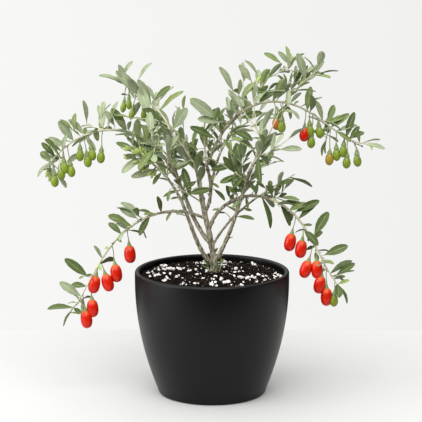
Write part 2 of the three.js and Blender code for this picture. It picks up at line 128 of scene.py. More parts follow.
# The fruit by its place along a limb. The ripe lists and the green one at the left are the source's, the top
# one's fruit is slimmer than there, and the mixed fruit and the buds are placed again, nearer to the photo.
Fruit = namedtuple("Fruit", "at drop lean kind forward", defaults=[0])
RIPE_LEFT = [
    Fruit(0.45, 25, 2, "ripe"), Fruit(0.57, 28, 4, "ripe"), Fruit(0.67, 22, 6, "ripe"),
    Fruit(0.70, 19, -4, "ripe"), Fruit(0.79, 28, 2, "ripe"), Fruit(0.87, 26, 3, "ripe"),
]
RIPE_RIGHT = [
    Fruit(0.56, 26, -5, "ripe"), Fruit(0.63, 22, -3, "ripe"), Fruit(0.73, 25, -8, "ripe"),
    Fruit(0.75, 22, 1, "ripe"), Fruit(0.84, 21, -4, "ripe"), Fruit(0.87, 28, 0, "ripe"),
    Fruit(0.95, 18, -1, "green"),
]
GREEN_LEFT = [
    Fruit(0.71, 26, -2, "green"), Fruit(0.77, 20, 3, "green"), Fruit(0.79, 25, 3, "green"),
    Fruit(0.81, 17, 0, "green"), Fruit(0.87, 25, 3, "green"), Fruit(0.90, 17, 2, "green"),
    Fruit(0.92, 20, 2, "green"), Fruit(0.96, 20, 2, "green"), Fruit(0.98, 13, 0, "bud"),
]
GREEN_TOP = [
    Fruit(0.76, 16, 1, "small"), Fruit(0.84, 20, -4, "small"), Fruit(0.92, 15, 0, "small"),
    Fruit(0.95, 20, -3, "small"),
]
MIXED_RIGHT = [
    Fruit(0.48, 20, 2, "turning", 12), Fruit(0.52, 21, -1, "green", 18), Fruit(0.64, 24, -1, "half"),
    Fruit(0.66, 18, 1, "green"), Fruit(0.68, 27, -1, "green"), Fruit(0.71, 14, 2, "green"),
    Fruit(0.79, 31, -1, "turning"), Fruit(0.82, 23, 1, "green"), Fruit(0.87, 14, -1, "green"),
    Fruit(0.89, 23, -1, "green"), Fruit(0.93, 18, 2, "green"),
]
BUDS = [
    Fruit(0.99, -7, -9, "bud", 6), Fruit(0.99, -4, -1, "bud", 9), Fruit(0.95, -9, -2, "bud", 8),
    Fruit(0.99, 3, -8, "bud", 4), Fruit(0.93, 3, -7, "bud", 8), Fruit(0.89, -10, -3, "bud", 12),
    Fruit(0.89, 6, -5, "bud", 10), Fruit(0.86, -5, -2, "bud", 12), Fruit(0.84, 8, -3, "bud", 6),
]

# The growth rules of the source, and what each is carried on to here: the number of finer shoots, their
# length, and the chance of a small companion beside each leaf
Growth = namedtuple("Growth", "pitch leaf twigs twig_length lift sag shoots shoot_length companions")
ARCH = Growth(12, 22, 2, 18, 0.75, 0.1, 4, 14, 0.55)
SPRAY = Growth(14.5, 22, 3, 30, 0.65, 0.2, 8, 20, 0.35)
BUSHY = Growth(14, 22, 4, 34, 0.5, 0.25, 3, 22, 0.25)
SHOOT = Growth(12.5, 21, 2, 24, 0.45, 0.4, 3, 18, 0.3)
INNER = BUSHY._replace(shoots=1, companions=0.12)
LONG_ARCH = SPRAY._replace(shoots=12, companions=0.5)

# The limbs, as in the source; finer is the seed of the growth that is added here
Limb = namedtuple("Limb", "parent at heading climb length radius bare growth seed finer fruits",
                  defaults=[None, 0, 0, ()])
LIMBS = {
    "trunk": Limb(None, 0, [150], [90, 62, 87], 94, (2.9, 2.3), 1, None, 0, 32),
    "left_outer": Limb("trunk", 0.06, [205, 190], [39, 102, 54, 28], 141, (2.3, 0.8), 0.68,
                       BUSHY, 80, 1, BUDS),
    "upper_left": Limb("trunk", 0.28, [150, 185, 190], [37, 134, -29, -52], 233, (2.2, 0.7), 0.4,
                       LONG_ARCH, 72, 99, GREEN_LEFT),
    "lower_left": Limb("trunk", 0.55, [190, 192], [29, -19, -91, -48], 182, (1.5, 0.7), 0.26,
                       ARCH, 394, 69, RIPE_LEFT),
    "lower_right": Limb("trunk", 0.42, [352, 345], [78, 2, -109, -43], 192, (1.8, 0.7), 0.36,
                        ARCH, 134, 64, RIPE_RIGHT),
    "right_outer": Limb("trunk", 0.08, [335, 340], [56, 84, 62], 126, (2.2, 1.2), 1, None, 0, 32),
    "right_thin": Limb("trunk", 0.25, [25, 20], [61, 24, 26], 112, (1.3, 0.6), 0.56, SHOOT, 148, 91),
    "middle": Limb("trunk", 0.62, [60], [23, 113, 117], 52, (1.8, 1.5), 1, None, 0, 73),
    "upper_right": Limb("middle", 1, [10, -5], [64, 87, -121, 2], 200, (1.6, 0.7), 0.3,
                        LONG_ARCH, 311, 54, MIXED_RIGHT),
    "top_left": Limb("upper_left", 0.39, [110, 165], [147, -12, 41], 108, (1.4, 0.6), 0.3,
                     BUSHY, 285, 35, GREEN_TOP),
    "top_right": Limb("upper_right", 0.28, [35, 20], [94, -22, 44], 84, (1.0, 0.5), 0, SHOOT, 1234, 64),
    "right_crest": Limb("upper_right", 0.53, [-15], [44, 65, 11], 47, (0.8, 0.5), 0, SHOOT, 1125, 51),
    "right_heart": Limb("right_outer", 1, [350, 20], [50, 25, 10], 52, (1.1, 0.5), 0, BUSHY, 252, 66),
    "crown_left": Limb("trunk", 1, [195, 160], [70, 45], 50, (1.5, 0.6), 0, INNER, 55, 17),
    "crown_low": Limb("trunk", 0.72, [215, 190], [35, 30], 32, (0.9, 0.6), 0, SHOOT, 38, 73),
    "heart_low": Limb("right_outer", 0.72, [195, 180], [40, 30], 30, (0.9, 0.6), 0, SHOOT, 152, 78),
    "crown_mid": Limb("middle", 0.92, [140, 60], [75, 85], 56, (1.1, 0.6), 0, INNER, 134, 57),
    "front_left": Limb("upper_left", 0.3, [255, 235], [60, 15], 74, (1.3, 0.6), 0.3, INNER, 183, 14),
    "front_right": Limb("right_outer", 0.66, [285, 300], [62, 12], 76, (1.3, 0.6), 0.3, BUSHY, 199, 5),
    "back_left": Limb("trunk", 0.84, [112, 128], [66, 12], 100, (1.4, 0.6), 0.35, INNER, 67, 105),
    "back_right": Limb("middle", 0.45, [75, 52], [62, 8], 104, (1.4, 0.6), 0.36, INNER, 122, 26),
}

Path = namedtuple("Path", "points dirs length")
Leaf = namedtuple("Leaf", "root along up length bow")
Twig = namedtuple("Twig", "path radius leaves")


def dice(seed):
    """A small repeatable source of random numbers between 0 and 1."""
    state = seed * DICE_STRIDE + DICE_START
    while True:
        state = state * DICE_FACTOR % DICE_MODULUS
        yield state / DICE_MODULUS


def draw(random):
    return [next(random) for _ in range(DRAWS_PER_NODE)]


def lerp(first, last, share):
    return first + (last - first) * share


def eased(values, t):
    """A value that eases through a list, as a Bezier curve does."""
    row = list(values)
    while len(row) > 1:
        row = [lerp(first, last, t) for first, last in zip(row, row[1:])]
    return row[0]


def direction(heading, climb):
    h, c = math.radians(heading), math.radians(climb)
    return Vector((math.cos(c) * math.cos(h), math.cos(c) * math.sin(h), math.sin(c)))


def make_path(start, direction_at, length, count):
    """A run of points with the direction of growth at each."""
    points = [start.copy()]
    dirs = [direction_at(0)]
    for i in range(count):
        points.append(points[-1] + direction_at((i + 0.5) / count) * (length / count))
        dirs.append(direction_at((i + 1) / count))
    return Path(points, dirs, length)


def at(path, share):
    """The point and direction at a share of a path's length."""
    place = min(max(share, 0), 1) * (len(path.points) - 1)
    i = min(int(place), len(path.points) - 2)
    point = path.points[i].lerp(path.points[i + 1], place - i)
    return point, path.dirs[i].lerp(path.dirs[i + 1], place - i).normalized()


def stretch(path, first, last, step):
    """The stretch of a path between two shares of its length, in even steps of about the given length."""
    length = path.length * (last - first)
    count = max(1, round(length / step))
    nodes = [at(path, lerp(first, last, i / count)) for i in range(count + 1)]
    return Path([point for point, _ in nodes], [way for _, way in nodes], length)


def limb_path(name):
    spec = LIMBS[name]
    start = at(limb_path(spec.parent), spec.at)[0] if spec.parent else Vector((*TRUNK_FOOT, SOIL_LEVEL))

    def direction_at(t):
        return direction(eased(spec.heading, t), eased(spec.climb, t))

    return make_path(start, direction_at, spec.length, LIMB_STEPS)


def limb_radius(spec, share):
    return lerp(spec.radius[0], spec.radius[1], share)


def sideways(way, angle):
    """A side direction of a stem, at an angle round it that starts from the upper side."""
    upright = RIGHT if abs(way.z) > NEARLY_UPRIGHT else UP
    high = (upright - way * upright.dot(way)).normalized()
    turn = math.radians(angle)
    return high * math.cos(turn) + way.cross(high) * math.sin(turn)


def leaf_at(node, angle, rule, sizes):
    """The leaf at a node: its direction leaves the stem, is lifted to the light and bows down."""
    point, way = node
    tilt, size, roll, bow = sizes
    side = (sideways(way, angle) + UP * rule.lift).normalized()
    spread = math.radians(STANCE.spread + STANCE.spread_range * tilt)
    along = (way * math.cos(spread) + side * math.sin(spread)).normalized()
    facing = UP + way * STANCE.forward + sideways(way, 90) * STANCE.roll * (roll - 0.5)
    up = (facing - along * facing.dot(along)).normalized()
    length = rule.leaf * (STANCE.size + STANCE.size_range * size)
    return Leaf(point - along * LEAF_SUNK, along, up, length, STANCE.bow + STANCE.bow_range * bow)


def leaves_on(path, rule, random):
    """The leaves of a twig: nodes a golden angle apart, some with a second leaf, and a tip leaf."""
    count = max(1, round(path.length / rule.pitch))
    start = 360 * next(random)
    leaves = []
    for i in range(count):
        turn, tilt, size, roll, bow, second = draw(random)
        share = (i + FIRST_NODE_AT) / count
        node = at(path, share)
        angle = start + GOLDEN_ANGLE * i + NODE_TURN_SCATTER * (turn - 0.5)
        grown = size * (1 - TIP_LOSS * share ** 3)
        leaves.append(leaf_at(node, angle, rule, [tilt, grown, roll, bow]))
        if second < SECOND_LEAF_SHARE:
            opposite = [roll, size * SECOND_LEAF_SIZE, bow, tilt]
            leaves.append(leaf_at(node, angle + SECOND_LEAF_ANGLE, rule, opposite))
    turn, _, size, roll, bow, _ = draw(random)
    last = [TIP_LEAF_TILT, size * TIP_LEAF_SIZE, roll, bow]
    leaves.append(leaf_at(at(path, TIP_LEAF_AT), 360 * turn, rule, last))
    return leaves


def twig_path(node, angle, length, sag):
    """A side twig leaves its stem at an angle and sags or rises as it grows."""
    point, way = node
    side = (sideways(way, angle) + UP * TWIGS.lift).normalized()
    spread = math.radians(TWIGS.angle)
    first = way * math.cos(spread) + side * math.sin(spread)
    return make_path(point, lambda t: (first + UP * sag * t).normalized(), length, TWIG_STEPS)


def source_growth(name):
    """The stem, leaves and twigs that the source grows on one limb past its bare part."""
    spec = LIMBS[name]
    rule = spec.growth
    random = dice(spec.seed)
    first = spec.bare + (LIMB_GAP / spec.length if spec.bare > 0 else 0)
    stem = stretch(limb_path(name), first, 1, STEM_STEP)
    leaves = leaves_on(stem, rule, random)
    twigs = []
    start = 360 * next(random)
    for i in range(rule.twigs):
        turn, size, rise, *_ = draw(random)
        share = lerp(TWIGS.first_at, TWIGS.last_at, i / (rule.twigs - 1))
        angle = start + GOLDEN_ANGLE * i + TWIGS.turn * (turn - 0.5)
        length = rule.twig_length * (TWIGS.size + TWIGS.size_range * size) * (1 - TWIGS.tip_loss * share)
        path = twig_path(at(stem, share), angle, length, rule.sag + TWIGS.sag * (rise - 0.5))
        radius = TWIGS.stem_share * limb_radius(spec, lerp(first, 1, share))
        twigs.append(Twig(path, radius, leaves_on(path, rule, random)))
    return stem, leaves, twigs


# The finer growth: small companions beside the leaves, short shoots between the twigs, and spurs high up on
# the bare wood. Here and below, a pair is a value's least and how much chance adds to it.
COMPANIONS_PER_NODE = 2
COMPANION_SIZE = (-0.75, 0.85)
SHOOT_PITCH = 7.5
SHOOT_LEAF = 0.86
SHOOT_RADIUS = 0.45
SHOOT_LENGTH = (0.55, 0.7)
SHOOT_PLACE = (0.08, 0.88)
SHOOT_CROWDING = 0.7
SHOOT_SAG_SCATTER = 0.6
STEM_SHOOT_SHARE = 0.55
SPUR_FROM = 168.0
SPUR_STEP = 10.0
SPUR_CHANCE = 0.55
SPUR_LENGTH = (4, 7)
SPUR_SAG = 0.6
SPUR_RULE = Growth(5, 17, 0, 0, 0.5, 0.2, 0, 0, 0)


def scattered(pair, chance):
    """A value within a pair's range, by chance."""
    return pair[0] + pair[1] * chance


def companions_on(path, rule, random):
    """Small leaves that stand beside the main ones at the nodes of a stem."""
    count = max(1, round(path.length / rule.pitch))
    found = []
    for i in range(COMPANIONS_PER_NODE * count):
        turn, tilt, size, roll, bow, chance = draw(random)
        node = at(path, (i / COMPANIONS_PER_NODE + FIRST_NODE_AT) / count)
        if chance < rule.companions:
            sizes = [tilt, scattered(COMPANION_SIZE, size), roll, bow]
            found.append(leaf_at(node, 360 * turn, rule, sizes))
    return found


def shoots_on(hosts, rule, random):
    """Short leafy shoots, spread over a limb's stem and twigs."""
    found = []
    finer_rule = rule._replace(pitch=SHOOT_PITCH, leaf=rule.leaf * SHOOT_LEAF)
    for i in range(rule.shoots):
        turn, size, rise, share, host, _ = draw(random)
        path = hosts[0] if host < STEM_SHOOT_SHARE else hosts[1 + i % (len(hosts) - 1)]
        node = at(path, scattered(SHOOT_PLACE, share ** SHOOT_CROWDING))
        length = rule.shoot_length * scattered(SHOOT_LENGTH, size)
        side = twig_path(node, 360 * turn, length, rule.sag + SHOOT_SAG_SCATTER * (rise - 0.5))
        found.append(Twig(side, SHOOT_RADIUS, leaves_on(side, finer_rule, random)))
    return found


def spurs_on(name, random):
    """Short spurs with one to three leaves on the upper part of a limb's bare wood."""
    path = stretch(limb_path(name), 0, LIMBS[name].bare, SPUR_STEP)
    found = []
    for point, way in zip(path.points[1:-1], path.dirs[1:-1]):
        turn, size, rise, chance, *_ = draw(random)
        side = twig_path((point, way), 360 * turn, scattered(SPUR_LENGTH, size), SPUR_SAG * rise)
        leaves = leaves_on(side, SPUR_RULE, random)
        if chance < SPUR_CHANCE and point.z > SPUR_FROM:
            found.append(Twig(side, SHOOT_RADIUS, leaves))
    return found


def finer_growth(name, stem, twigs):
    """What grows on here past the source's rule, from the limb's second seed."""
    spec = LIMBS[name]
    random = dice(spec.finer)
    shoots = spurs_on(name, random) if spec.bare > 0 else []
    leaves = []
    if spec.growth:
        paths = [stem] + [twig.path for twig in twigs]
        for path in paths:
            leaves += companions_on(path, spec.growth, random)
        shoots += shoots_on(paths, spec.growth, random)
    return leaves, shoots


# What the photo shows of the crown from the front. EYE is where it was taken from. An opening, where the
# wall shows through, and a shaded place, where leaves are a deeper green, are given by x, z and half sizes.
EYE = Vector((-0.4, -1765.0, 525.7))
OPENINGS = [
    (-20, 272, 5, 8), (-21, 259, 5, 5), (-43, 285, 6, 7), (1, 289, 8, 6), (35, 267, 6, 4), (38, 256, 5, 4),
    (6, 234, 5, 7), (16, 220, 6, 5), (-6, 211, 4, 8), (3, 204, 4, 4), (-16, 207, 3, 5), (-14, 186, 4, 6),
    (-3, 186, 4, 8), (8, 187, 6, 7), (-39, 186, 9, 4), (-51, 204, 9, 5), (-67, 198, 10, 8), (-63, 224, 4, 4),
    (56, 219, 6, 7), (77, 224, 8, 10), (81, 201, 6, 7), (43, 185, 7, 4), (75, 262, 4, 6), (-25, 184, 4, 4),
    (28, 166, 8, 10), (-11, 167, 3, 6), (24, 311, 5, 5), (49, 326, 6, 4), (107, 299, 7, 7), (114, 288, 6, 5),
    (-19, 293, 7, 5), (-5, 291, 6, 6), (-8, 303, 10, 8), (73, 241, 5, 7), (-17, 221, 4, 7), (44, 202, 4, 5),
    (-105, 325, 4, 4), (-48, 311, 4, 6), (-24, 300, 4, 5), (-94, 137, 3, 7),
    (-81, 150, 3, 5), (-116, 91, 6, 4), (-118, 146, 6, 4),
]
SHADED = [(27, 222, 22, 32), (-8, 240, 10, 14)]
SHOWN_STEMS = {
    "upper_right": (0.05, 0.75), "upper_left": (0.2, 0.42), "top_left": (0.35, 0.75), "middle": (0.0, 0.7),
    "right_outer": (0.3, 0.9), "left_outer": (0.4, 0.75), "lower_right": (0.2, 0.5),
}

# The listed leaves stand on a limb or on a short stalk from it. Angles start at +X and rise towards +Z, roll
# turns the broad face away from the front, and forward is how far the tip comes to the front.
SetLeaf = namedtuple("SetLeaf", "limb at angle length roll stalk stalk_angle forward",
                     defaults=[35, 0, 90, 4])
SET_LEAVES = [SetLeaf(limb, *values) for limb, rows in [
    ("top_left", [(0.80, 129, 33, 30), (0.80, 58, 21, 62, 16, 92), (0.66, 115, 27, 25),
        (0.97, 60, 17, 40, 10, 100), (1.00, 154, 24, 76), (0.62, 48, 21, 45, 6, 85), (0.55, 47, 31, 66)]),
    ("crown_left", [(1.00, 61, 27, 15, 5, 70, 16)]),
    ("upper_left", [(0.78, 92, 22, 58, 12, 88), (0.69, 76, 30, 70), (0.84, 124, 24, 15),
        (0.90, 75, 16, 35), (0.94, 130, 19, 25), (0.66, 118, 18, 30, 4, 90)]),
    ("upper_right", [(0.20, 139, 34, 20, 12, 130, 12), (0.10, 149, 27, 25, 9, 95, 14),
        (0.25, 167, 25, 30, 9, 190, 10)]),
    ("top_right", [(0.15, 113, 27, 55, 13, 115), (0.40, 124, 20, 25, 6, 90), (0.50, 125, 19, 68, 8, 95),
        (0.80, 143, 19, 50, 9, 85), (0.95, 127, 18, 35)]),
    ("right_crest", [(0.65, 105, 27, 25), (0.80, 55, 19, 20)]),
    ("upper_right", [(0.65, 86, 24, 30), (0.74, 105, 22, 45), (0.76, 25, 19, 40), (0.79, 40, 22, 20),
        (0.88, 76, 26, 20), (0.90, 60, 16, 30), (0.95, 100, 14, 40), (0.82, 330, 18, 45),
        (0.30, 20, 22, 25, 5, 280, 8)]),
    ("front_right", [(1.00, 5, 20, 35, 9, 15, 2)]),
    ("heart_low", [(0.50, 122, 22, 10, 0, 90, 14)]),
    ("front_right", [(0.80, 268, 26, 45, 4, 200)]),
    ("lower_right", [(0.36, 293, 32, 66), (0.46, 300, 24, 50), (0.55, 28, 25, 15, 3, 60),
        (0.69, 62, 26, 20, 4, 30), (0.80, 25, 24, 20, 4, 20)]),
    ("left_outer", [(0.80, 189, 28, 25, 0, 90, 8), (0.78, 228, 15, 40, 0, 90, 8), (0.95, 212, 25, 40)]),
    ("crown_low", [(0.60, 17, 24, 15, 0, 90, 12)]),
    ("back_left", [(0.10, 205, 15, 30, 3, 150, 16)]),
    ("upper_left", [(0.35, 35, 20, 30, 0, 90, 8)]),
    ("middle", [(0.85, 20, 21, 25, 3, 40, 12), (0.50, 322, 16, 45, 3, 0, 8)]),
    ("right_outer", [(0.64, 172, 13, 25), (0.67, 150, 14, 40), (0.56, 215, 11, 40)]),
    ("right_thin", [(0.30, 172, 7, 45, 9, 130), (0.44, 350, 9, 10, 0, 90, 3)]),
    ("right_outer", [(0.42, 359, 17, 62, 2, 20)]),
    ("trunk", [(0.17, 62, 10, 20, 0, 90, 6)]),
    ("left_outer", [(0.52, 80, 9, 30)]),
    ("lower_left", [(0.25, 97, 17, 45), (0.28, 172, 12, 60), (0.38, 145, 20, 15, 3, 110),
        (0.31, 236, 22, 35), (0.19, 232, 11, 45), (0.66, 113, 16, 60), (0.89, 143, 25, 15),
        (0.77, 139, 28, 20, 4, 175)]),
    ("upper_left", [(0.88, 150, 19, 15)]),
    ("lower_right", [(0.62, 8, 9, 30), (0.64, 315, 21, 20, 2, 200, 6), (0.94, 36, 21, 20, 6, 70)]),
    ("crown_left", [(0.70, 333, 15, 35, 5, 45, 8)]),
    ("crown_mid", [(0.30, 74, 13, 30, 4, 20, 8), (0.35, 188, 13, 40, 8, 180, 6)]),
    ("crown_left", [(0.20, 130, 10, 30, 0, 90, 6)]),
    ("middle", [(0.62, 335, 9, 30, 2, 0, 8)]),
    ("crown_left", [(0.35, 195, 15, 45, 3, 200, 8)]),
    ("left_outer", [(0.64, 256, 12, 10, 4, 200), (0.56, 180, 9, 50)]),
    ("upper_left", [(0.26, 318, 9, 30, 0, 90, 5), (0.23, 50, 8, 40, 0, 90, 5),
        (0.28, 130, 10, 25, 0, 90, 5)]),
    ("crown_low", [(0.75, 82, 13, 55)]),
    ("trunk", [(0.85, 30, 6, 40, 13, 33, 12), (0.88, 178, 5, 50, 14, 184, 12)]),
    ("lower_right", [(0.13, 176, 8, 40, 0, 90, 3), (0.28, 282, 12, 15)]),
    ("upper_right", [(0.22, 340, 26, 35, 4, 300, 16)]),
    ("heart_low", [(0.10, 222, 16, 20, 4, 100, 10), (0.25, 190, 21, 30, 0, 90, 6), (0.40, 204, 15, 50),
        (0.50, 260, 14, 25, 0, 90, 7)]),
    ("lower_right", [(0.20, 100, 12, 25, 5, 112), (0.33, 84, 13, 15)]),
    ("right_outer", [(0.72, 318, 14, 30, 0, 90, 5)]),
    ("lower_right", [(0.42, 118, 14, 30, 3, 80)]),
    ("right_thin", [(0.70, 140, 12, 15, 3, 100)]),
] for values in rows]


SET_LEAF_BOW = 0.14

# How close a grown leaf may come to what it must not hide, as half the side of a square; fruit and buds have
# one for the body and one for the stalk. A leaf hides a stem when it is this far in front of it.
STEM_CLEARANCE = 2.2
STEM_FRONT = 0.5
FRUIT_CLEARANCES = (4.5, 2.2)
BUD_CLEARANCES = (2.0, 1.0)
SET_LEAF_CLEARANCE = 3.2

# Where along a leaf, a stalk and a shown stem the clearances are measured
LEAF_TESTED_AT = (0.4, 0.7, 0.97)
SET_LEAF_TESTED_AT = (0.35, 0.6, 0.85)
STALK_TESTED_AT = 0.45
STEM_TEST_STEP = 3


def seen(point):
    """Where a point shows from the front, as x and z on the plane through the middle of the pot."""
    share = EYE.y / (EYE.y - point.y)
    return EYE.x + (point.x - EYE.x) * share, EYE.z + (point.z - EYE.z) * share


def inside(place, ovals):
    """Whether a place, as seen from the front, lies in one of the ovals."""
    x, z = place
    return any(((x - cx) / wide) ** 2 + ((z - cz) / high) ** 2 < 1 for cx, cz, wide, high in ovals)


def along_leaf(leaf, share):
    return leaf.root + leaf.along * leaf.length * share


def fruit_centre(root, fruit):
    return root + Vector((fruit.lean, -fruit.forward, -fruit.drop))


def kept_clear():
    """What no grown leaf may hide, the shown stems, the fruit and the set leaves: x, z, y and clearance."""
    places = []

    def keep(point, clearance, front=0.0):
        places.append((*seen(point), point.y - front, clearance))

    for name, (first, last) in SHOWN_STEMS.items():
        for point in stretch(limb_path(name), first, last, STEM_TEST_STEP).points:
            keep(point, STEM_CLEARANCE, STEM_FRONT)
    for name, spec in LIMBS.items():
        for fruit in spec.fruits:
            root = at(limb_path(name), fruit.at)[0]
            centre = fruit_centre(root, fruit)
            body, stalk = BUD_CLEARANCES if fruit.kind == "bud" else FRUIT_CLEARANCES
            keep(centre, body)
            keep(root.lerp(centre, STALK_TESTED_AT), stalk)
    for wanted in SET_LEAVES:
        leaf = set_leaf(wanted)[1]
        for share in SET_LEAF_TESTED_AT:
            keep(along_leaf(leaf, share), SET_LEAF_CLEARANCE)
    return places


def is_open(leaf, places):
    """Whether a leaf leaves the openings and the shown stems and fruit free."""
    for share in LEAF_TESTED_AT:
        point = along_leaf(leaf, share)
        x, z = seen(point)
        if inside((x, z), OPENINGS):
            return False
        if any(abs(x - cx) < clear and abs(z - cz) < clear and point.y < y for cx, cz, y, clear in places):
            return False
    return True


def in_plane(angle):
    turn = math.radians(angle)
    return Vector((math.cos(turn), 0, math.sin(turn)))


def set_leaf(wanted):
    """A listed leaf, and the short stalk that carries it."""
    root = at(limb_path(wanted.limb), wanted.at)[0]
    forward = Vector((0, -wanted.forward, 0)) / (wanted.stalk + wanted.length)
    stalk = None
    if wanted.stalk:
        way = (in_plane(wanted.stalk_angle) + forward).normalized()
        stalk = make_path(root, lambda t: way, wanted.stalk, TWIG_STEPS)
        root = stalk.points[-1]
    along = (in_plane(wanted.angle) + forward).normalized()
    side = in_plane(wanted.angle + 90)
    upper_side = side if side.z > 0 else -side
    roll = math.radians(wanted.roll)
    facing = Vector((0, -1, 0)) * math.cos(roll) + upper_side * math.sin(roll)
    up = (facing - along * facing.dot(along)).normalized()
    return stalk, Leaf(root - along * LEAF_SUNK, along, up, wanted.length, SET_LEAF_BOW)


# The small shoots at the trunk's foot: x and y from its middle, heading, length and seed
FOOT_SHOOTS = [
    (1.5, -4.5, 290, 6, 5), (-4.5, -3.0, 200, 7, 8), (5.0, -2.0, 330, 10, 12), (-1.0, -5.0, 250, 3, 3),
]
FOOT_RULE = SPUR_RULE._replace(pitch=3, leaf=8.5)
FOOT_SUNK = 0.5
FOOT_CLIMB = 72
FOOT_RADII = (0.5, 0.3)

# A spray is a stem, twig, shoot or spur with its own leaves; radii are at its start and its end
Spray = namedtuple("Spray", "limb kind path radii leaves")
TIP_RADIUS = 0.35
TIP_THINNING = 0.8

# A twig ends at the last of these shares that has a leaf or shoot this near
TWIG_END_SHARES = np.linspace(0.1, 1, 19)
TWIG_END_NEAR = 1.5


def used_part(path, roots):
    """The part of a twig up to the last leaf or shoot that it carries, or nothing."""
    if len(roots) < 2:
        return None
    shares = [share for share in TWIG_END_SHARES
              if any((at(path, share)[0] - root).length < TWIG_END_NEAR for root in roots)]
    return stretch(path, 0, max(shares), path.length / TWIG_STEPS) if shares else None


def whole_plant(fullness):
    """Every leafy spray of the plant; fullness lengthens the leaves of the source's rule."""
    places = kept_clear()

    def free(leaves, longer=1.0):
        grown = [leaf._replace(length=leaf.length * longer) for leaf in leaves]
        return [leaf for leaf in grown if is_open(leaf, places)]

    sprays = []
    for name, spec in LIMBS.items():
        longer = 1.0 if spec.growth is INNER else fullness
        stem, leaves, twigs = source_growth(name) if spec.growth else (None, [], [])
        finer, shoots = finer_growth(name, stem, twigs)
        companions = free(finer)
        shoots = [shoot._replace(leaves=free(shoot.leaves)) for shoot in shoots]
        if stem:
            radii = (limb_radius(spec, spec.bare), spec.radius[1] * TIP_THINNING)
            sprays.append(Spray(name, "stem", stem, radii, free(leaves, longer) + companions))
        roots = [shoot.path.points[0] for shoot in shoots if shoot.leaves]
        for twig in twigs:
            grown = free(twig.leaves, longer)
            carried = roots + [leaf.root for leaf in grown + companions]
            path = used_part(twig.path, carried) if grown else None
            if path:
                sprays.append(Spray(name, "twig", path, (twig.radius, TIP_RADIUS), grown))
        for shoot in shoots:
            path = used_part(shoot.path, [leaf.root for leaf in shoot.leaves])
            if path:
                radii = (shoot.radius, TIP_RADIUS * TIP_THINNING)
                sprays.append(Spray(name, "shoot", path, radii, shoot.leaves))
    for wanted in SET_LEAVES:
        stalk, leaf = set_leaf(wanted)
        sprays.append(Spray(wanted.limb, "set", stalk, (SHOOT_RADIUS, TIP_RADIUS), [leaf]))
    for x, y, heading, length, seed in FOOT_SHOOTS:
        start = Vector((*TRUNK_FOOT, SOIL_LEVEL)) + Vector((x, y, -FOOT_SUNK))
        foot = make_path(start, lambda t: direction(heading, FOOT_CLIMB), length, TWIG_STEPS)
        sprays.append(Spray("trunk", "foot", foot, FOOT_RADII, leaves_on(foot, FOOT_RULE, dice(seed))))
    return sprays


BLACK = (0, 0, 0)


def tint(red, green, blue):
    """A screen colour of 0 to 255 as the linear colour that Blender's sockets take."""
    def linear(value):
        share = value / 255
        return share / 12.92 if share <= 0.04045 else ((share + 0.055) / 1.055) ** 2.4
    return linear(red), linear(green), linear(blue)


# Forms, and meshes joined from many copies of them

@contextmanager
def editing(piece, action="DESELECT"):
    """Edit mode on one piece, with all or nothing of it selected."""
    bpy.context.view_layer.objects.active = piece
    bpy.ops.object.mode_set(mode="EDIT")
    bpy.ops.mesh.select_all(action=action)
    yield
    bpy.ops.object.mode_set(mode="OBJECT")


def pick_points(piece, test):
    """Selects, in edit mode, just the points that pass a test."""
    shape = bmesh.from_edit_mesh(piece.data)
    for part in (*shape.faces, *shape.edges):
        part.select_set(False)
    for point in shape.verts:
        point.select_set(test(point))
    shape.select_flush(True)
    bmesh.update_edit_mesh(piece.data)


def new_piece(name):
    """Names the primitive that was just added."""
    piece = bpy.context.object
    piece.name = name
    piece.data.name = name
    return piece


def add_disc(name, sides, radius, height):
    """Adds a round disc at a height; the sizes are in millimetres, and its origin stays on the ground."""
    bpy.ops.object.select_all(action="DESELECT")
    bpy.ops.mesh.primitive_circle_add(vertices=sides, radius=radius * MM, fill_type="NGON",
                                      location=(0, 0, height * MM))
    disc = new_piece(name)
    bpy.ops.object.transform_apply(location=True, rotation=True, scale=True)
    return disc


def raise_rings(disc, radius, height, outline):
    """Extrudes a disc along an outline of radii and heights in millimetres, and turns its faces outward."""
    with editing(disc, "SELECT"):
        for next_radius, next_height in outline:
            step = (0, 0, (next_height - height) * MM)
            bpy.ops.mesh.extrude_region_move(TRANSFORM_OT_translate={"value": step})
            share = next_radius / radius
            bpy.ops.transform.resize(value=(share, share, 1), center_override=(0, 0, next_height * MM))
            radius, height = next_radius, next_height
        bpy.ops.mesh.select_all(action="SELECT")
        bpy.ops.mesh.normals_make_consistent(inside=False)


def choose(piece):
    bpy.ops.object.select_all(action="DESELECT")
    piece.select_set(True)
    bpy.context.view_layer.objects.active = piece


def apply_modifier(piece, kind, **values):
    choose(piece)
    step = piece.modifiers.new(kind.title(), kind)
    for key, value in values.items():
        setattr(step, key, value)
    bpy.ops.object.modifier_apply(modifier=step.name)


def smooth_piece(piece, angle):
    choose(piece)
    bpy.ops.object.shade_smooth_by_angle(angle=math.radians(angle))


def settle(piece, nodes, materials=None):
    """Gives a finished piece its body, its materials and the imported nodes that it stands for."""
    if materials:
        piece.data.materials.clear()
        for material in materials:
            piece.data.materials.append(material)
    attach(piece, "root")
    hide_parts(*nodes)
    return piece


Form = namedtuple("Form", "points faces slots")


def take_form(piece):
    """The points, faces and material places of a modelled form, which then leaves the scene."""
    points = np.empty(len(piece.data.vertices) * 3)
    piece.data.vertices.foreach_get("co", points)
    faces = [tuple(face.vertices) for face in piece.data.polygons]
    slots = [face.material_index for face in piece.data.polygons]
    mesh = piece.data
    bpy.data.objects.remove(piece)
    bpy.data.meshes.remove(mesh)
    return Form(points.reshape(-1, 3), faces, slots)


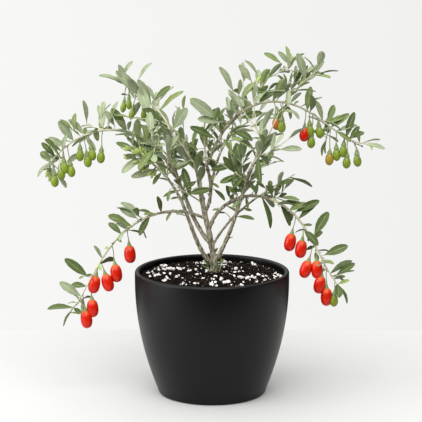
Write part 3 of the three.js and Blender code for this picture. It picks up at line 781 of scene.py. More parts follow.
class Gathering:
    """Closed bodies that are gathered, in millimetres, and joined in one mesh."""

    def __init__(self):
        self.points = []
        self.faces = []
        self.slots = []
        self.marks = []
        self.count = 0

    def add(self, form, points, slot=None, mark=0.0):
        """Adds one copy of a form with its points in their final place."""
        self.points.append(points)
        self.faces += [tuple(i + self.count for i in face) for face in form.faces]
        self.slots += form.slots if slot is None else [slot] * len(form.faces)
        self.marks.append(np.full(len(points), mark) if np.isscalar(mark) else np.asarray(mark))
        self.count += len(points)

    def add_tube(self, points, radii, sides, slot=0, marks=None):
        """Adds a closed tube with a radius at each point, or a row of radii round each point for flutes."""
        points = np.array([tuple(point) for point in points])
        ways = np.gradient(points, axis=0)
        ways /= np.linalg.norm(ways, axis=1)[:, None]
        side = np.cross(ways[0], (0.0, 0.0, 1.0) if abs(ways[0][2]) < NEARLY_UPRIGHT else (1.0, 0.0, 0.0))
        turns = np.arange(sides) / sides * math.tau
        rings = []
        for point, way, radius in zip(points, ways, radii):
            side = side - way * side.dot(way)
            side /= np.linalg.norm(side)
            high = np.cross(way, side)
            out = np.outer(np.cos(turns), side) + np.outer(np.sin(turns), high)
            rings.append(point + out * np.reshape(radius, (-1, 1)))
        last = sides * (len(rings) - 1)
        faces = [tuple(range(sides))[::-1], tuple(range(last, last + sides))]
        for i in range(len(rings) - 1):
            for j in range(sides):
                k = (j + 1) % sides
                faces.append((i * sides + j, i * sides + k, (i + 1) * sides + k, (i + 1) * sides + j))
        spans = [slot] * (len(rings) - 1) if np.isscalar(slot) else slot
        slots = [spans[0], spans[-1]]
        for span in spans:
            slots += [span] * sides
        mark = 0.0 if marks is None else np.repeat(marks, sides)
        self.add(Form(None, faces, slots), np.concatenate(rings), None, mark)

    def piece(self, name, materials, angle):
        """Joins what was gathered in one mesh, in metres."""
        mesh = bpy.data.meshes.new(name)
        mesh.from_pydata((np.concatenate(self.points) * MM).tolist(), [], self.faces)
        for material in materials:
            mesh.materials.append(material)
        mesh.polygons.foreach_set("material_index", self.slots)
        # Each point's mark: how far a fruit's skin takes its top colour, which is ripening on unripe fruit and
        # a painted highlight on ripe berries
        mark = mesh.attributes.new("ripeness", "FLOAT", "POINT")
        mark.data.foreach_set("value", np.concatenate(self.marks).astype(np.float32))
        mesh.update()
        piece = bpy.data.objects.new(name, mesh)
        bpy.context.collection.objects.link(piece)
        smooth_piece(piece, angle)
        return piece


# A leaf's outline, as how far along it and how much of its half width, and its section
LEAF_STATIONS = [
    (0.0, 0.14), (0.07, 0.15), (0.2, 0.47), (0.38, 0.86), (0.6, 1.0), (0.8, 0.86), (0.94, 0.5), (1.0, 0.12),
]
LEAF_ROWS = 3
INNER_ROWS_WITHIN = 0.25
MIDRIB_SHARE = 0.3
MIDRIB_WITHIN = 0.02
LEAF_THICKNESS = 0.018
WAVE_TURN = 1.9
LEVEL_FACE = 0.3
MIDRIB, UNDERSIDE, MARGIN = 1, 2, 3


def model_leaf(name, width, fold, wave):
    """A leaf: a grid narrowed to its outline, folded along a thin midrib and given its thickness."""
    steps = len(LEAF_STATIONS) - 1
    bpy.ops.object.select_all(action="DESELECT")
    bpy.ops.mesh.primitive_grid_add(x_subdivisions=steps, y_subdivisions=LEAF_ROWS, size=1)
    leaf = new_piece(name)
    columns = [set() for _ in LEAF_STATIONS]
    for point in leaf.data.vertices:
        columns[round((point.co.x + 0.5) * steps)].add(point.index)
    inner = {point.index for point in leaf.data.vertices if abs(point.co.y) < INNER_ROWS_WITHIN}
    with editing(leaf):
        pick_points(leaf, lambda point: point.index in inner)
        bpy.ops.transform.resize(value=(1, MIDRIB_SHARE, 1), center_override=(0, 0, 0))
        for i, ((along, half), column) in enumerate(zip(LEAF_STATIONS, columns)):
            pick_points(leaf, lambda point: point.index in column)
            bpy.ops.transform.translate(value=(along + 0.5 - i / steps, 0, wave * math.sin(i * WAVE_TURN)))
            bpy.ops.transform.resize(value=(1, half * width, 1), center_override=(0, 0, 0))
            pick_points(leaf, lambda point: point.index in column - inner)
            bpy.ops.transform.translate(value=(0, 0, fold * half * width / 2))
    apply_modifier(leaf, "SOLIDIFY", thickness=LEAF_THICKNESS, offset=0)
    for face in leaf.data.polygons:
        if face.normal.z < -LEVEL_FACE:
            face.material_index = UNDERSIDE
        elif face.normal.z > LEVEL_FACE and abs(face.center.y) < MIDRIB_WITHIN:
            face.material_index = MIDRIB
        elif face.normal.z < LEVEL_FACE:
            face.material_index = MARGIN
    return take_form(leaf)


def put_leaf(leaf, form):
    """The points of a leaf form, bowed and turned to where one leaf grows."""
    along, up = np.array(leaf.along), np.array(leaf.up)
    across = np.cross(up, along)
    x, y, z = (form.points * leaf.length).T
    drop = leaf.bow * leaf.length * form.points[:, 0] ** 2
    return np.array(leaf.root) + np.outer(x, along) + np.outer(y, across) + np.outer(z - drop, up)


# Where below its middle a ball starts to taper, how near a point is to the ring it belongs to, and how much
# longer and narrower than round a lump is
TAPER_FROM = 0.2
RING_WITHIN = 0.01
LUMP_STRETCH = (1.1, 0.9)


def model_ball(name, segments, rings, fullness=2.0, taper=0.0):
    """A rounded body of unit length on Z: fullness above 2 fills its ends out, and taper narrows its top."""
    bpy.ops.object.select_all(action="DESELECT")
    bpy.ops.mesh.primitive_uv_sphere_add(segments=segments, ring_count=rings, radius=0.5)
    ball = new_piece(name)
    with editing(ball):
        for i in range(1, rings):
            level = -math.cos(math.pi * i / rings)
            full = (1 - abs(level) ** fullness) ** (1 / fullness)
            share = full / math.sqrt(1 - level * level) * (1 - taper * max(level + TAPER_FROM, 0))
            pick_points(ball, lambda point: abs(point.co.z - level / 2) < RING_WITHIN)
            bpy.ops.transform.resize(value=(share, share, 1), center_override=(0, 0, level / 2))
    return take_form(ball)


def model_lump(name, subdivisions, seed, roughness, flat):
    """A rough lump: an icosphere whose points are moved in or out, and pressed a little flat."""
    bpy.ops.object.select_all(action="DESELECT")
    bpy.ops.mesh.primitive_ico_sphere_add(subdivisions=subdivisions, radius=0.5)
    lump = new_piece(name)
    random = dice(seed)
    for point in lump.data.vertices:
        point.co *= 1 + roughness * (next(random) - 0.5)
    with editing(lump, "SELECT"):
        bpy.ops.transform.resize(value=(*LUMP_STRETCH, flat), center_override=(0, 0, 0))
    return take_form(lump)


def turned(points, turn, tip=0.0):
    """Points turned about Z, after a tip about X."""
    spin = Matrix.Rotation(turn, 3, "Z") @ Matrix.Rotation(tip, 3, "X")
    return points @ np.array(spin).T


def stretched(points, way, share):
    """Points that are moved along a direction by a share of how far along it they lie."""
    return points + np.outer(points @ way, way) * share


# Materials

def new_group(name, inputs, outputs):
    """A shader node group with named sockets, and its two ends."""
    group = bpy.data.node_groups.new(name, "ShaderNodeTree")
    for label, kind, value in inputs:
        socket = group.interface.new_socket(name=label, in_out="INPUT", socket_type="NodeSocket" + kind)
        socket.default_value = value
    for label, kind in outputs:
        group.interface.new_socket(name=label, in_out="OUTPUT", socket_type="NodeSocket" + kind)
    return group, group.nodes.new("NodeGroupInput"), group.nodes.new("NodeGroupOutput")


def colour_mix(nodes):
    """A node that mixes two colours: its share, its two colours and its result."""
    mix = nodes.new("ShaderNodeMix")
    mix.data_type = "RGBA"
    ends = {socket.identifier: socket for socket in (*mix.inputs, *mix.outputs)}
    return ends["Factor_Float"], ends["A_Color"], ends["B_Color"], ends["Result_Color"]


def group_noise(group, start, detail):
    """Noise on the piece's own coordinates, at the frequency and drawing out that the group is given."""
    nodes, links = group.nodes, group.links
    place = nodes.new("ShaderNodeTexCoord")
    mapping = nodes.new("ShaderNodeMapping")
    texture = nodes.new("ShaderNodeTexNoise")
    texture.inputs["Detail"].default_value = detail
    links.new(place.outputs["Object"], mapping.inputs["Vector"])
    links.new(start.outputs["Drawn Out"], mapping.inputs["Scale"])
    links.new(mapping.outputs["Vector"], texture.inputs["Vector"])
    links.new(start.outputs["Frequency"], texture.inputs["Scale"])
    return texture.outputs["Fac"]


def mottle_group():
    """Colour that drifts between two tones in patches of a given size, drawn out along Z."""
    if "Mottle" in bpy.data.node_groups:
        return bpy.data.node_groups["Mottle"]
    group, start, end = new_group(
        "Mottle",
        [("Light", "Color", (1, 1, 1, 1)), ("Dark", "Color", (0, 0, 0, 1)), ("Frequency", "Float", 100.0),
         ("Drawn Out", "Vector", (1, 1, 1)), ("Sharpness", "Float", 0.5), ("Balance", "Float", 0.5)],
        [("Color", "Color"), ("Mask", "Float")])
    nodes, links = group.nodes, group.links
    spread = nodes.new("ShaderNodeMapRange")
    links.new(group_noise(group, start, 5), spread.inputs["Value"])
    for operation, limit in (("SUBTRACT", "From Min"), ("ADD", "From Max")):
        edge = nodes.new("ShaderNodeMath")
        edge.operation = operation
        links.new(start.outputs["Balance"], edge.inputs[0])
        links.new(start.outputs["Sharpness"], edge.inputs[1])
        links.new(edge.outputs["Value"], spread.inputs[limit])
    share, first, second, mixed = colour_mix(nodes)
    links.new(spread.outputs["Result"], share)
    links.new(start.outputs["Dark"], first)
    links.new(start.outputs["Light"], second)
    links.new(mixed, end.inputs["Color"])
    links.new(spread.outputs["Result"], end.inputs["Mask"])
    return group


def grain_group():
    """Fine raised grain, drawn out along Z where the material asks for it."""
    if "Fine Grain" in bpy.data.node_groups:
        return bpy.data.node_groups["Fine Grain"]
    group, start, end = new_group(
        "Fine Grain",
        [("Frequency", "Float", 1000.0), ("Drawn Out", "Vector", (1, 1, 1)), ("Strength", "Float", 0.3),
         ("Depth", "Float", 0.0002)],
        [("Normal", "Vector"), ("Height", "Float")])
    nodes, links = group.nodes, group.links
    height = group_noise(group, start, 4)
    bump = nodes.new("ShaderNodeBump")
    links.new(start.outputs["Strength"], bump.inputs["Strength"])
    links.new(start.outputs["Depth"], bump.inputs["Distance"])
    links.new(height, bump.inputs["Height"])
    links.new(bump.outputs["Normal"], end.inputs["Normal"])
    links.new(height, end.inputs["Height"])
    return group


def put_group(nodes, group, values):
    node = nodes.new("ShaderNodeGroup")
    node.node_tree = group
    for label, value in values.items():
        node.inputs[label].default_value = value
    return node


def new_material(name, light, dark, frequency, drawn_out=(1, 1, 1), sharpness=0.25, balance=0.5,
                 grain=1500, grain_strength=0.3, grain_depth=0.0002, **shader):
    """A material of two drifting tones with a fine grain; other values go on the shader's own sockets."""
    material = bpy.data.materials.new(name)
    material.use_nodes = True
    nodes, links = material.node_tree.nodes, material.node_tree.links
    surface = nodes["Principled BSDF"]
    tones = put_group(nodes, mottle_group(), {
        "Light": (*light, 1), "Dark": (*dark, 1), "Frequency": frequency, "Drawn Out": drawn_out,
        "Sharpness": sharpness, "Balance": balance})
    relief = put_group(nodes, grain_group(), {
        "Frequency": grain, "Drawn Out": drawn_out, "Strength": grain_strength, "Depth": grain_depth})
    links.new(tones.outputs["Color"], surface.inputs["Base Color"])
    links.new(relief.outputs["Normal"], surface.inputs["Normal"])
    for label, value in shader.items():
        surface.inputs[label.replace("_", " ").title().replace("Ior", "IOR")].default_value = value
    material.diffuse_color = (*light, 1)
    return material


def ripening_and_highlight_material(name, body, top, shade, **shader):
    """Fruit skin: the body's colour passes into another near the stalk, by the mark kept on each point; on a
    ripe berry that other colour is a painted highlight.
    """
    material = new_material(name, body, shade, frequency=90, balance=0.4, grain=700,
                            grain_strength=0.015, **shader)
    nodes, links = material.node_tree.nodes, material.node_tree.links
    surface = nodes["Principled BSDF"]
    tones = surface.inputs["Base Color"].links[0].from_node
    place = nodes.new("ShaderNodeAttribute")
    place.attribute_name = "ripeness"
    share, first, second, mixed = colour_mix(nodes)
    links.new(place.outputs["Fac"], share)
    links.new(tones.outputs["Color"], first)
    second.default_value = (*top, 1)
    links.new(mixed, surface.inputs["Base Color"])
    return material


def blend_tones(first, second, share):
    return tuple(lerp(a, b, share) for a, b in zip(first, second))


# The sizes and colours that a user would change

class BushPotSettings(bpy.types.PropertyGroup):
    sides: IntProperty(name="Sides", description="Faces round the pot", default=128, min=24)
    pot_light: FloatVectorProperty(name="Pot, Lighter", description="Lighter tone of the matt glaze",
                                   subtype="COLOR", size=3, default=tint(6, 6, 8))
    pot_dark: FloatVectorProperty(name="Pot, Darker", description="Darker tone of the matt glaze",
                                  subtype="COLOR", size=3, default=tint(4, 4, 5))
    perlite_count: IntProperty(name="Perlite", description="Number of perlite lumps off the patches",
                               default=200)
    crumb_count: IntProperty(name="Crumbs", description="Number of dark bits of bark and peat",
                             default=1300)
    perlite_size: FloatProperty(name="Perlite Size", description="Size of the largest perlite lump",
                                subtype="DISTANCE", default=3.4 * MM)
    soil_colour: FloatVectorProperty(name="Mix", description="Colour of the moist peat", subtype="COLOR",
                                     size=3, default=tint(10, 7, 6))
    perlite_colour: FloatVectorProperty(name="Perlite Colour", description="Colour of the perlite",
                                        subtype="COLOR", size=3, default=tint(255, 252, 247))


class BushWoodSettings(bpy.types.PropertyGroup):
    voxel: FloatProperty(name="Detail", description="Size of the faces that melt the forks together",
                         subtype="DISTANCE", default=0.36 * MM)
    relief: FloatProperty(name="Relief", description="Depth of the bark's ridges", subtype="DISTANCE",
                          default=0.22 * MM)
    bark_light: FloatVectorProperty(name="Bark, Lighter", description="Grey-tan of the ridges",
                                    subtype="COLOR", size=3, default=tint(165, 159, 135))
    bark_dark: FloatVectorProperty(name="Bark, Darker", description="Brown of the furrows",
                                   subtype="COLOR", size=3, default=tint(66, 60, 45))
    stem_light: FloatVectorProperty(name="Stem, Lighter", description="Cream-green of the young stems",
                                    subtype="COLOR", size=3, default=tint(208, 205, 176))
    stem_dark: FloatVectorProperty(name="Stem, Darker", description="Duller green of the young stems",
                                   subtype="COLOR", size=3, default=tint(168, 164, 132))


class BushLeafSettings(bpy.types.PropertyGroup):
    fullness: FloatProperty(name="Fullness", description="Length of the leaves against the growth rule's",
                            default=1.14, min=0.5, max=1.3)
    width: FloatProperty(name="Width", description="A leaf's width as a share of its length", default=0.325)
    # Grey, middle and deep are painted light and shade: grey stands for leaves in the light, deep for leaves
    # in the crown's shade
    grey: FloatVectorProperty(name="Outer Leaves", description="Grey-green of the leaves in the light",
                              subtype="COLOR", size=3, default=tint(153, 165, 130))
    middle: FloatVectorProperty(name="Middle Leaves", description="Green of the leaves between",
                                subtype="COLOR", size=3, default=tint(124, 141, 84))
    deep: FloatVectorProperty(name="Inner Leaves", subtype="COLOR", size=3, default=tint(90, 107, 57),
                              description="Deeper green of the leaves inside and low down")
    young: FloatVectorProperty(name="Young Leaves", description="Yellow-green of the newest leaves",
                               subtype="COLOR", size=3, default=tint(152, 172, 94))


class BushFruitSettings(bpy.types.PropertyGroup):
    ripe: FloatVectorProperty(name="Ripe", description="Red of the ripe berries", subtype="COLOR", size=3,
                              default=tint(209, 31, 5))
    # The orange near the stalk is a painted highlight on the top of a ripe berry
    ripe_top_highlight: FloatVectorProperty(name="Ripe, Top", description="Orange of a ripe berry near its stalk",
                                  subtype="COLOR", size=3, default=tint(236, 104, 36))
    green: FloatVectorProperty(name="Green", description="Green of the unripe fruit", subtype="COLOR",
                               size=3, default=tint(132, 153, 44))
    turning: FloatVectorProperty(name="Turning", description="Orange of the fruit that is turning",
                                 subtype="COLOR", size=3, default=tint(198, 90, 40))
    calyx: FloatVectorProperty(name="Calyx", description="Green of the stalks and cups", subtype="COLOR",
                               size=3, default=tint(134, 150, 92))


class BushStageSettings(bpy.types.PropertyGroup):
    key_power: FloatProperty(name="Key Light", description="Power of the soft light at the upper left",
                             subtype="POWER", unit="POWER", default=14.0)
    fill_power: FloatProperty(name="Fill Light", description="Power of the soft light above the front",
                              subtype="POWER", unit="POWER", default=56.0)
    side_power: FloatProperty(name="Side Light", description="Power of the low light at the left",
                              subtype="POWER", unit="POWER", default=27.0)
    surround: FloatProperty(name="Surround", description="Brightness of the room's lit side", default=1.76)
    lens: FloatProperty(name="Lens", description="Focal length of the camera", subtype="DISTANCE_CAMERA",
                        default=158.93)
    table_colour: FloatVectorProperty(name="Table", description="Colour of the table", subtype="COLOR",
                                      size=3, default=tint(192, 192, 191))


def pot_radius(height):
    """The pot's outer radius at a height."""
    share = 1 - min(height, POT_BELLY_HEIGHT) / POT_BELLY_HEIGHT
    return POT_RADIUS - POT_FOOT_TAPER * share * share


# The points on each part of the pot's outline, how far below the lip its straight inside starts, and how far
# in from its wall the floor does
FOOT_POINTS = 7
WALL_POINTS = 22
LIP_POINTS = 15
INSIDE_POINTS = 10
INSIDE_START = 2
FLOOR_INSET = 4


class BUSH_OT_pot(bpy.types.Operator):
    """Model the matt pot, from its flat foot over the soft rim down to its floor"""
    bl_idname = "bush.pot"
    bl_label = "Pot"

    def execute(self, context):
        wanted = context.scene.bush_pot
        lip = POT_WALL / 2
        lip_radius, lip_height = POT_RADIUS - lip, POT_HEIGHT - lip
        foot = pot_radius(POT_FOOT_ROUND)
        outline = [(foot - POT_FOOT_ROUND * (1 - math.sin(turn)), POT_FOOT_ROUND * (1 - math.cos(turn)))
                   for turn in np.linspace(0, math.pi / 2, FOOT_POINTS)[1:]]
        outline += [(pot_radius(height), height)
                    for height in np.linspace(POT_FOOT_ROUND, lip_height, WALL_POINTS)[1:]]
        outline += [(lip_radius + lip * math.cos(turn), lip_height + lip * math.sin(turn))
                    for turn in np.linspace(0, math.pi, LIP_POINTS)[1:]]
        outline += [(pot_radius(height) - POT_WALL, height)
                    for height in np.linspace(lip_height - INSIDE_START, POT_FLOOR, INSIDE_POINTS)]
        outline.append((pot_radius(POT_FLOOR) - POT_WALL - FLOOR_INSET, POT_FLOOR))
        pot = add_disc("pot_body", wanted.sides, foot - POT_FOOT_ROUND, 0.0)
        raise_rings(pot, foot - POT_FOOT_ROUND, 0.0, outline)
        smooth_piece(pot, 50)
        glaze = new_material("matt_charcoal_glaze", tuple(wanted.pot_light), tuple(wanted.pot_dark),
                             frequency=18, sharpness=0.2, grain=2600, grain_strength=0.22,
                             grain_depth=0.00012, roughness=0.38, specular_ior_level=0.25)
        settle(pot, ["pot"], [glaze])
        return {"FINISHED"}


# The potting mix, from its gap to the pot to the level middle and the unevenness of its top
MIX_GAP = 0.5
MIX_SIDES = 112
MIX_SIDE_START = 2
MIX_SIDE_POINTS = 9
MIX_RINGS = 44
MIX_INNERMOST = 1.5
MOUND_LEVEL = 9
UNEVEN_PITCH = 0.35
UNEVEN_NOISE = (0.8, 2.1, 5)
UNEVEN_HEIGHT = 0.9
UNEVEN_SUNK = 0.5

# The crumbs, some of them heaped round the trunk's foot. Their width and height go by their length, and a
# rarity is the power that makes the large ones few.
MIX_SEED = 11
CRUMB_SEEDS = (3, 4, 5)
FOOT_CRUMBS = 120
CRUMB_LENGTH = (1.0, 3.6)
CRUMB_RARITY = 3
CRUMB_DRAWN = (0.5, 0.9)
CRUMB_WIDTH = (0.5, 0.4)
CRUMB_HEIGHT = (0.4, 0.35)
CRUMB_LIFT = 0.5
CRUMB_TIP = 0.8
CRUMB_EDGE = 2
HEAP_REACH = (3.2, 4.5)
HEAP_HEIGHT = 1.6

# Where the perlite lies thick on the mix: x, y, reach and the number of lumps
PERLITE_PATCHES = [
    (-48, 38, 4, 9), (-42, 18, 5, 13), (-31, 18, 5, 10), (-24, 6, 5, 7), (-11, 45, 6, 9), (-61, 4, 4, 4),
    (-54, -6, 4, 6), (-43, -27, 4, 4), (-34, -15, 4, 4), (-27, -41, 2, 2), (-13, -9, 3, 3), (-7, -24, 3, 2),
    (-15, -43, 3, 3), (1, -43, 5, 6), (8, -29, 4, 4), (13, -38, 4, 11), (21, -46, 4, 3), (24, -19, 4, 3),
    (33, -22, 5, 12), (40, -17, 4, 5), (43, 41, 3, 2), (61, 8, 3, 3), (63, -5, 4, 7), (16, 54, 4, 4),
    (11, 32, 4, 4), (52, -22, 4, 3), (-56, 24, 4, 3), (27, 6, 4, 2), (48, -6, 4, 3),
]

# The perlite lumps in the patches and loose between them; length, width, height and lift are shares of size
PERLITE_SEEDS = (6, 7, 8, 9)
PATCH_RARITY = 1.2
LOOSE_RARITY = 5.0
PERLITE_SMALLEST = 0.6
PERLITE_LENGTH = (0.75, 0.7)
PERLITE_WIDTH = (1.1, -0.4)
PERLITE_HEIGHT = 0.8
PERLITE_LIFT = (0.1, 0.25)
PERLITE_TIP = 2
LOOSE_EDGE = 3
PERLITE_EDGE = 2.5
TRUNK_KEPT_FREE = 6

# The largest turn of a crumb or a lump, many times round, in radians
SPIN = 40


def mound_height(radius):
    """The height of the potting mix at a distance from the middle."""
    inner = pot_radius(MIX_EDGE_HEIGHT) - POT_WALL
    share = min(max(1 - (radius - MOUND_LEVEL) / (inner - MOUND_LEVEL), 0), 1)
    return lerp(MIX_EDGE_HEIGHT, MIX_CROWN_HEIGHT, math.sin(share * math.pi / 2))


class BUSH_OT_potting_mix(bpy.types.Operator):
    """Model the mounded peat with its crumbs and white perlite"""
    bl_idname = "bush.potting_mix"
    bl_label = "Potting Mix"

    def execute(self, context):
        wanted = context.scene.bush_pot
        inner = pot_radius(MIX_EDGE_HEIGHT) - POT_WALL - MIX_GAP
        mix_floor = POT_FLOOR + MIX_GAP
        foot = pot_radius(mix_floor) - POT_WALL - (FLOOR_INSET + MIX_GAP)
        sides = [(pot_radius(level) - POT_WALL - MIX_GAP, level)
                 for level in np.linspace(mix_floor + MIX_SIDE_START, MIX_EDGE_HEIGHT, MIX_SIDE_POINTS)]
        tops = [(ring, mound_height(ring)) for ring in np.linspace(inner, MIX_INNERMOST, MIX_RINGS)[1:]]
        mix = add_disc("potting_mix_body", MIX_SIDES, foot, mix_floor)
        raise_rings(mix, foot, mix_floor, sides + tops)
        for point in mix.data.vertices:
            place = point.co / MM
            if place.z > MIX_EDGE_HEIGHT - 1 and place.xy.length < inner - MIX_GAP:
                rough = noise.fractal(place * UNEVEN_PITCH, *UNEVEN_NOISE)
                point.co.z += (UNEVEN_HEIGHT * rough - UNEVEN_SUNK) * MM
        smooth_piece(mix, 35)
        peat = new_material("moist_peat", blend_tones(wanted.soil_colour, tint(48, 36, 27), 0.1),
                            blend_tones(wanted.soil_colour, BLACK, 0.6), frequency=420, sharpness=0.16,
                            grain=1400, grain_strength=0.8, grain_depth=0.0006, roughness=0.9,
                            specular_ior_level=0.06)
        settle(mix, ["potting_mix"], [peat])
        random = dice(MIX_SEED)
        self.strew_crumbs(wanted, inner, random)
        self.strew_perlite(wanted, inner, random)
        return {"FINISHED"}

    def strew_crumbs(self, wanted, inner, random):
        """Spreads the crumbs over the mound, and heaps some round the trunk's foot."""
        crumbs = Gathering()
        chips = [model_lump("crumb", 1, seed, roughness=0.7, flat=0.55) for seed in CRUMB_SEEDS]
        for i in range(wanted.crumb_count):
            reach, turn, size, tip, drawn, lift = draw(random)
            ring = (inner - CRUMB_EDGE) * math.sqrt(reach)
            around = math.tau * turn
            height = mound_height(ring) + CRUMB_LIFT * lift
            centre = (ring * math.cos(around), ring * math.sin(around), height)
            if i < FOOT_CRUMBS:
                near = scattered(HEAP_REACH, reach)
                centre = (TRUNK_FOOT[0] + near * math.cos(around), TRUNK_FOOT[1] + near * math.sin(around),
                          MIX_CROWN_HEIGHT + HEAP_HEIGHT * (1 - reach) * lift)
            long = scattered(CRUMB_LENGTH, size ** CRUMB_RARITY)
            chip = chips[i % len(chips)]
            points = chip.points * (long * scattered(CRUMB_DRAWN, drawn), scattered(CRUMB_WIDTH, long),
                                    scattered(CRUMB_HEIGHT, long))
            crumbs.add(chip, turned(points, SPIN * tip, CRUMB_TIP * (tip - 0.5)) + centre, slot=i % 2)
        bark = {"sharpness": 0.15, "grain": 1800, "grain_strength": 0.5, "grain_depth": 0.0004}
        dark = new_material("wet_bark_crumbs", tint(26, 19, 14), tint(6, 4, 4), frequency=500,
                            roughness=0.8, specular_ior_level=0.06, **bark)
        pale = new_material("dry_bark_crumbs", tint(74, 54, 38), tint(22, 16, 11), frequency=420,
                            roughness=0.85, specular_ior_level=0.15, **bark)
        settle(crumbs.piece("bark_crumbs", [dark, pale], 30), ["potting_mix"])

    def strew_perlite(self, wanted, inner, random):
        """Spreads the perlite lumps in their patches and between them."""
        perlite = Gathering()
        lumps = [model_lump("perlite", 2, seed, roughness=1.0, flat=0.8) for seed in PERLITE_SEEDS]
        patches = [(x, y, reach, PATCH_RARITY)
                   for x, y, reach, count in PERLITE_PATCHES for _ in range(count)]
        patches += [(0, 0, inner - LOOSE_EDGE, LOOSE_RARITY)] * wanted.perlite_count
        for i, (x, y, spread, rarity) in enumerate(patches):
            reach, turn, size, tip, drawn, lift = draw(random)
            x += spread * math.sqrt(reach) * math.cos(math.tau * turn)
            y += spread * math.sqrt(reach) * math.sin(math.tau * turn)
            ring = math.hypot(x, y)
            from_trunk = math.hypot(x - TRUNK_FOOT[0], y - TRUNK_FOOT[1])
            if ring > inner - PERLITE_EDGE or from_trunk < TRUNK_KEPT_FREE:
                continue
            wide = lerp(PERLITE_SMALLEST, wanted.perlite_size / MM, size ** rarity)
            lump = lumps[i % len(lumps)]
            points = lump.points * (wide * scattered(PERLITE_LENGTH, drawn),
                                    wide * scattered(PERLITE_WIDTH, lift), wide * PERLITE_HEIGHT)
            centre = (x, y, mound_height(ring) + wide * scattered(PERLITE_LIFT, lift))
            perlite.add(lump, turned(points, SPIN * tip, PERLITE_TIP * tip) + centre)
        white = new_material("perlite", tuple(wanted.perlite_colour),
                             blend_tones(wanted.perlite_colour, tint(170, 152, 134), 0.5),
                             frequency=650, sharpness=0.22, balance=0.4, grain=2200, grain_strength=0.5,
                             grain_depth=0.0003, roughness=0.9)
        settle(perlite.piece("perlite_lumps", [white], 25), ["potting_mix"])


# The bare wood, which runs on into the leafy part and down into the mix
WOOD_OVERLAP = 6
WOOD_SUNK = 1.6
WOOD_STEP = 1.6
WOOD_SIDES = 16

# Flutes by number, depth and turn from ring to ring, swellings by depth and turn, and the flare at the
# trunk's foot by width, reach and depth of its lobes
BROAD_FLUTES = (3, 0.05, 0.25)
FINE_FLUTES = (5, 0.03, -0.17)
SWELLINGS = (0.05, 0.9)
FLARE = (1.7, 5.0, 0.16)

# The knobs, with the steps between them, and the broken spurs, with their radii at shares of their length
KNOB_SEED = 100
KNOB_WIDTH = (1.0, 1.5)
KNOB_SUNK = 0.25
KNOB_FULLNESS = 1.15
KNOB_DRAWN_OUT = 0.9
KNOB_GAP = (3, 4)
KNOB_FREE_END = 3
SPUR_STUB_CHANCE = 0.42
SPUR_STUB_FROM = 4
SPUR_STUB_LENGTH = (1.6, 3.2)
SPUR_STUB_LEAN = 0.7
SPUR_STUB_RINGS = {0: 0.62, 0.4: 0.56, 0.8: 0.48, 1: 0.34}
SPUR_STUB_SIDES = 8

# The bark's ridges, finer across than along the stems, and the flecks on them
RIDGE_ACROSS = 1.1
RIDGE_ALONG = 0.22
RIDGE_NOISE = (0.9, 2.0, 3)
FLECK_PITCH = 1.7
FLECK_DEPTH = 0.35


def bare_path(name):
    """The bare part of a limb and a little of its leafy part, in short steps, with its radii."""
    spec = LIMBS[name]
    last = min(spec.bare + WOOD_OVERLAP / spec.length, 1)
    wood = stretch(limb_path(name), 0, last, WOOD_STEP)
    radii = [limb_radius(spec, last * i / (len(wood.points) - 1)) for i in range(len(wood.points))]
    return wood, radii


def fluted(flutes, turns, i, start=0):
    """How far the flutes stand out round one ring."""
    number, depth, twist = flutes
    return depth * np.cos(number * turns + twist * i + start)


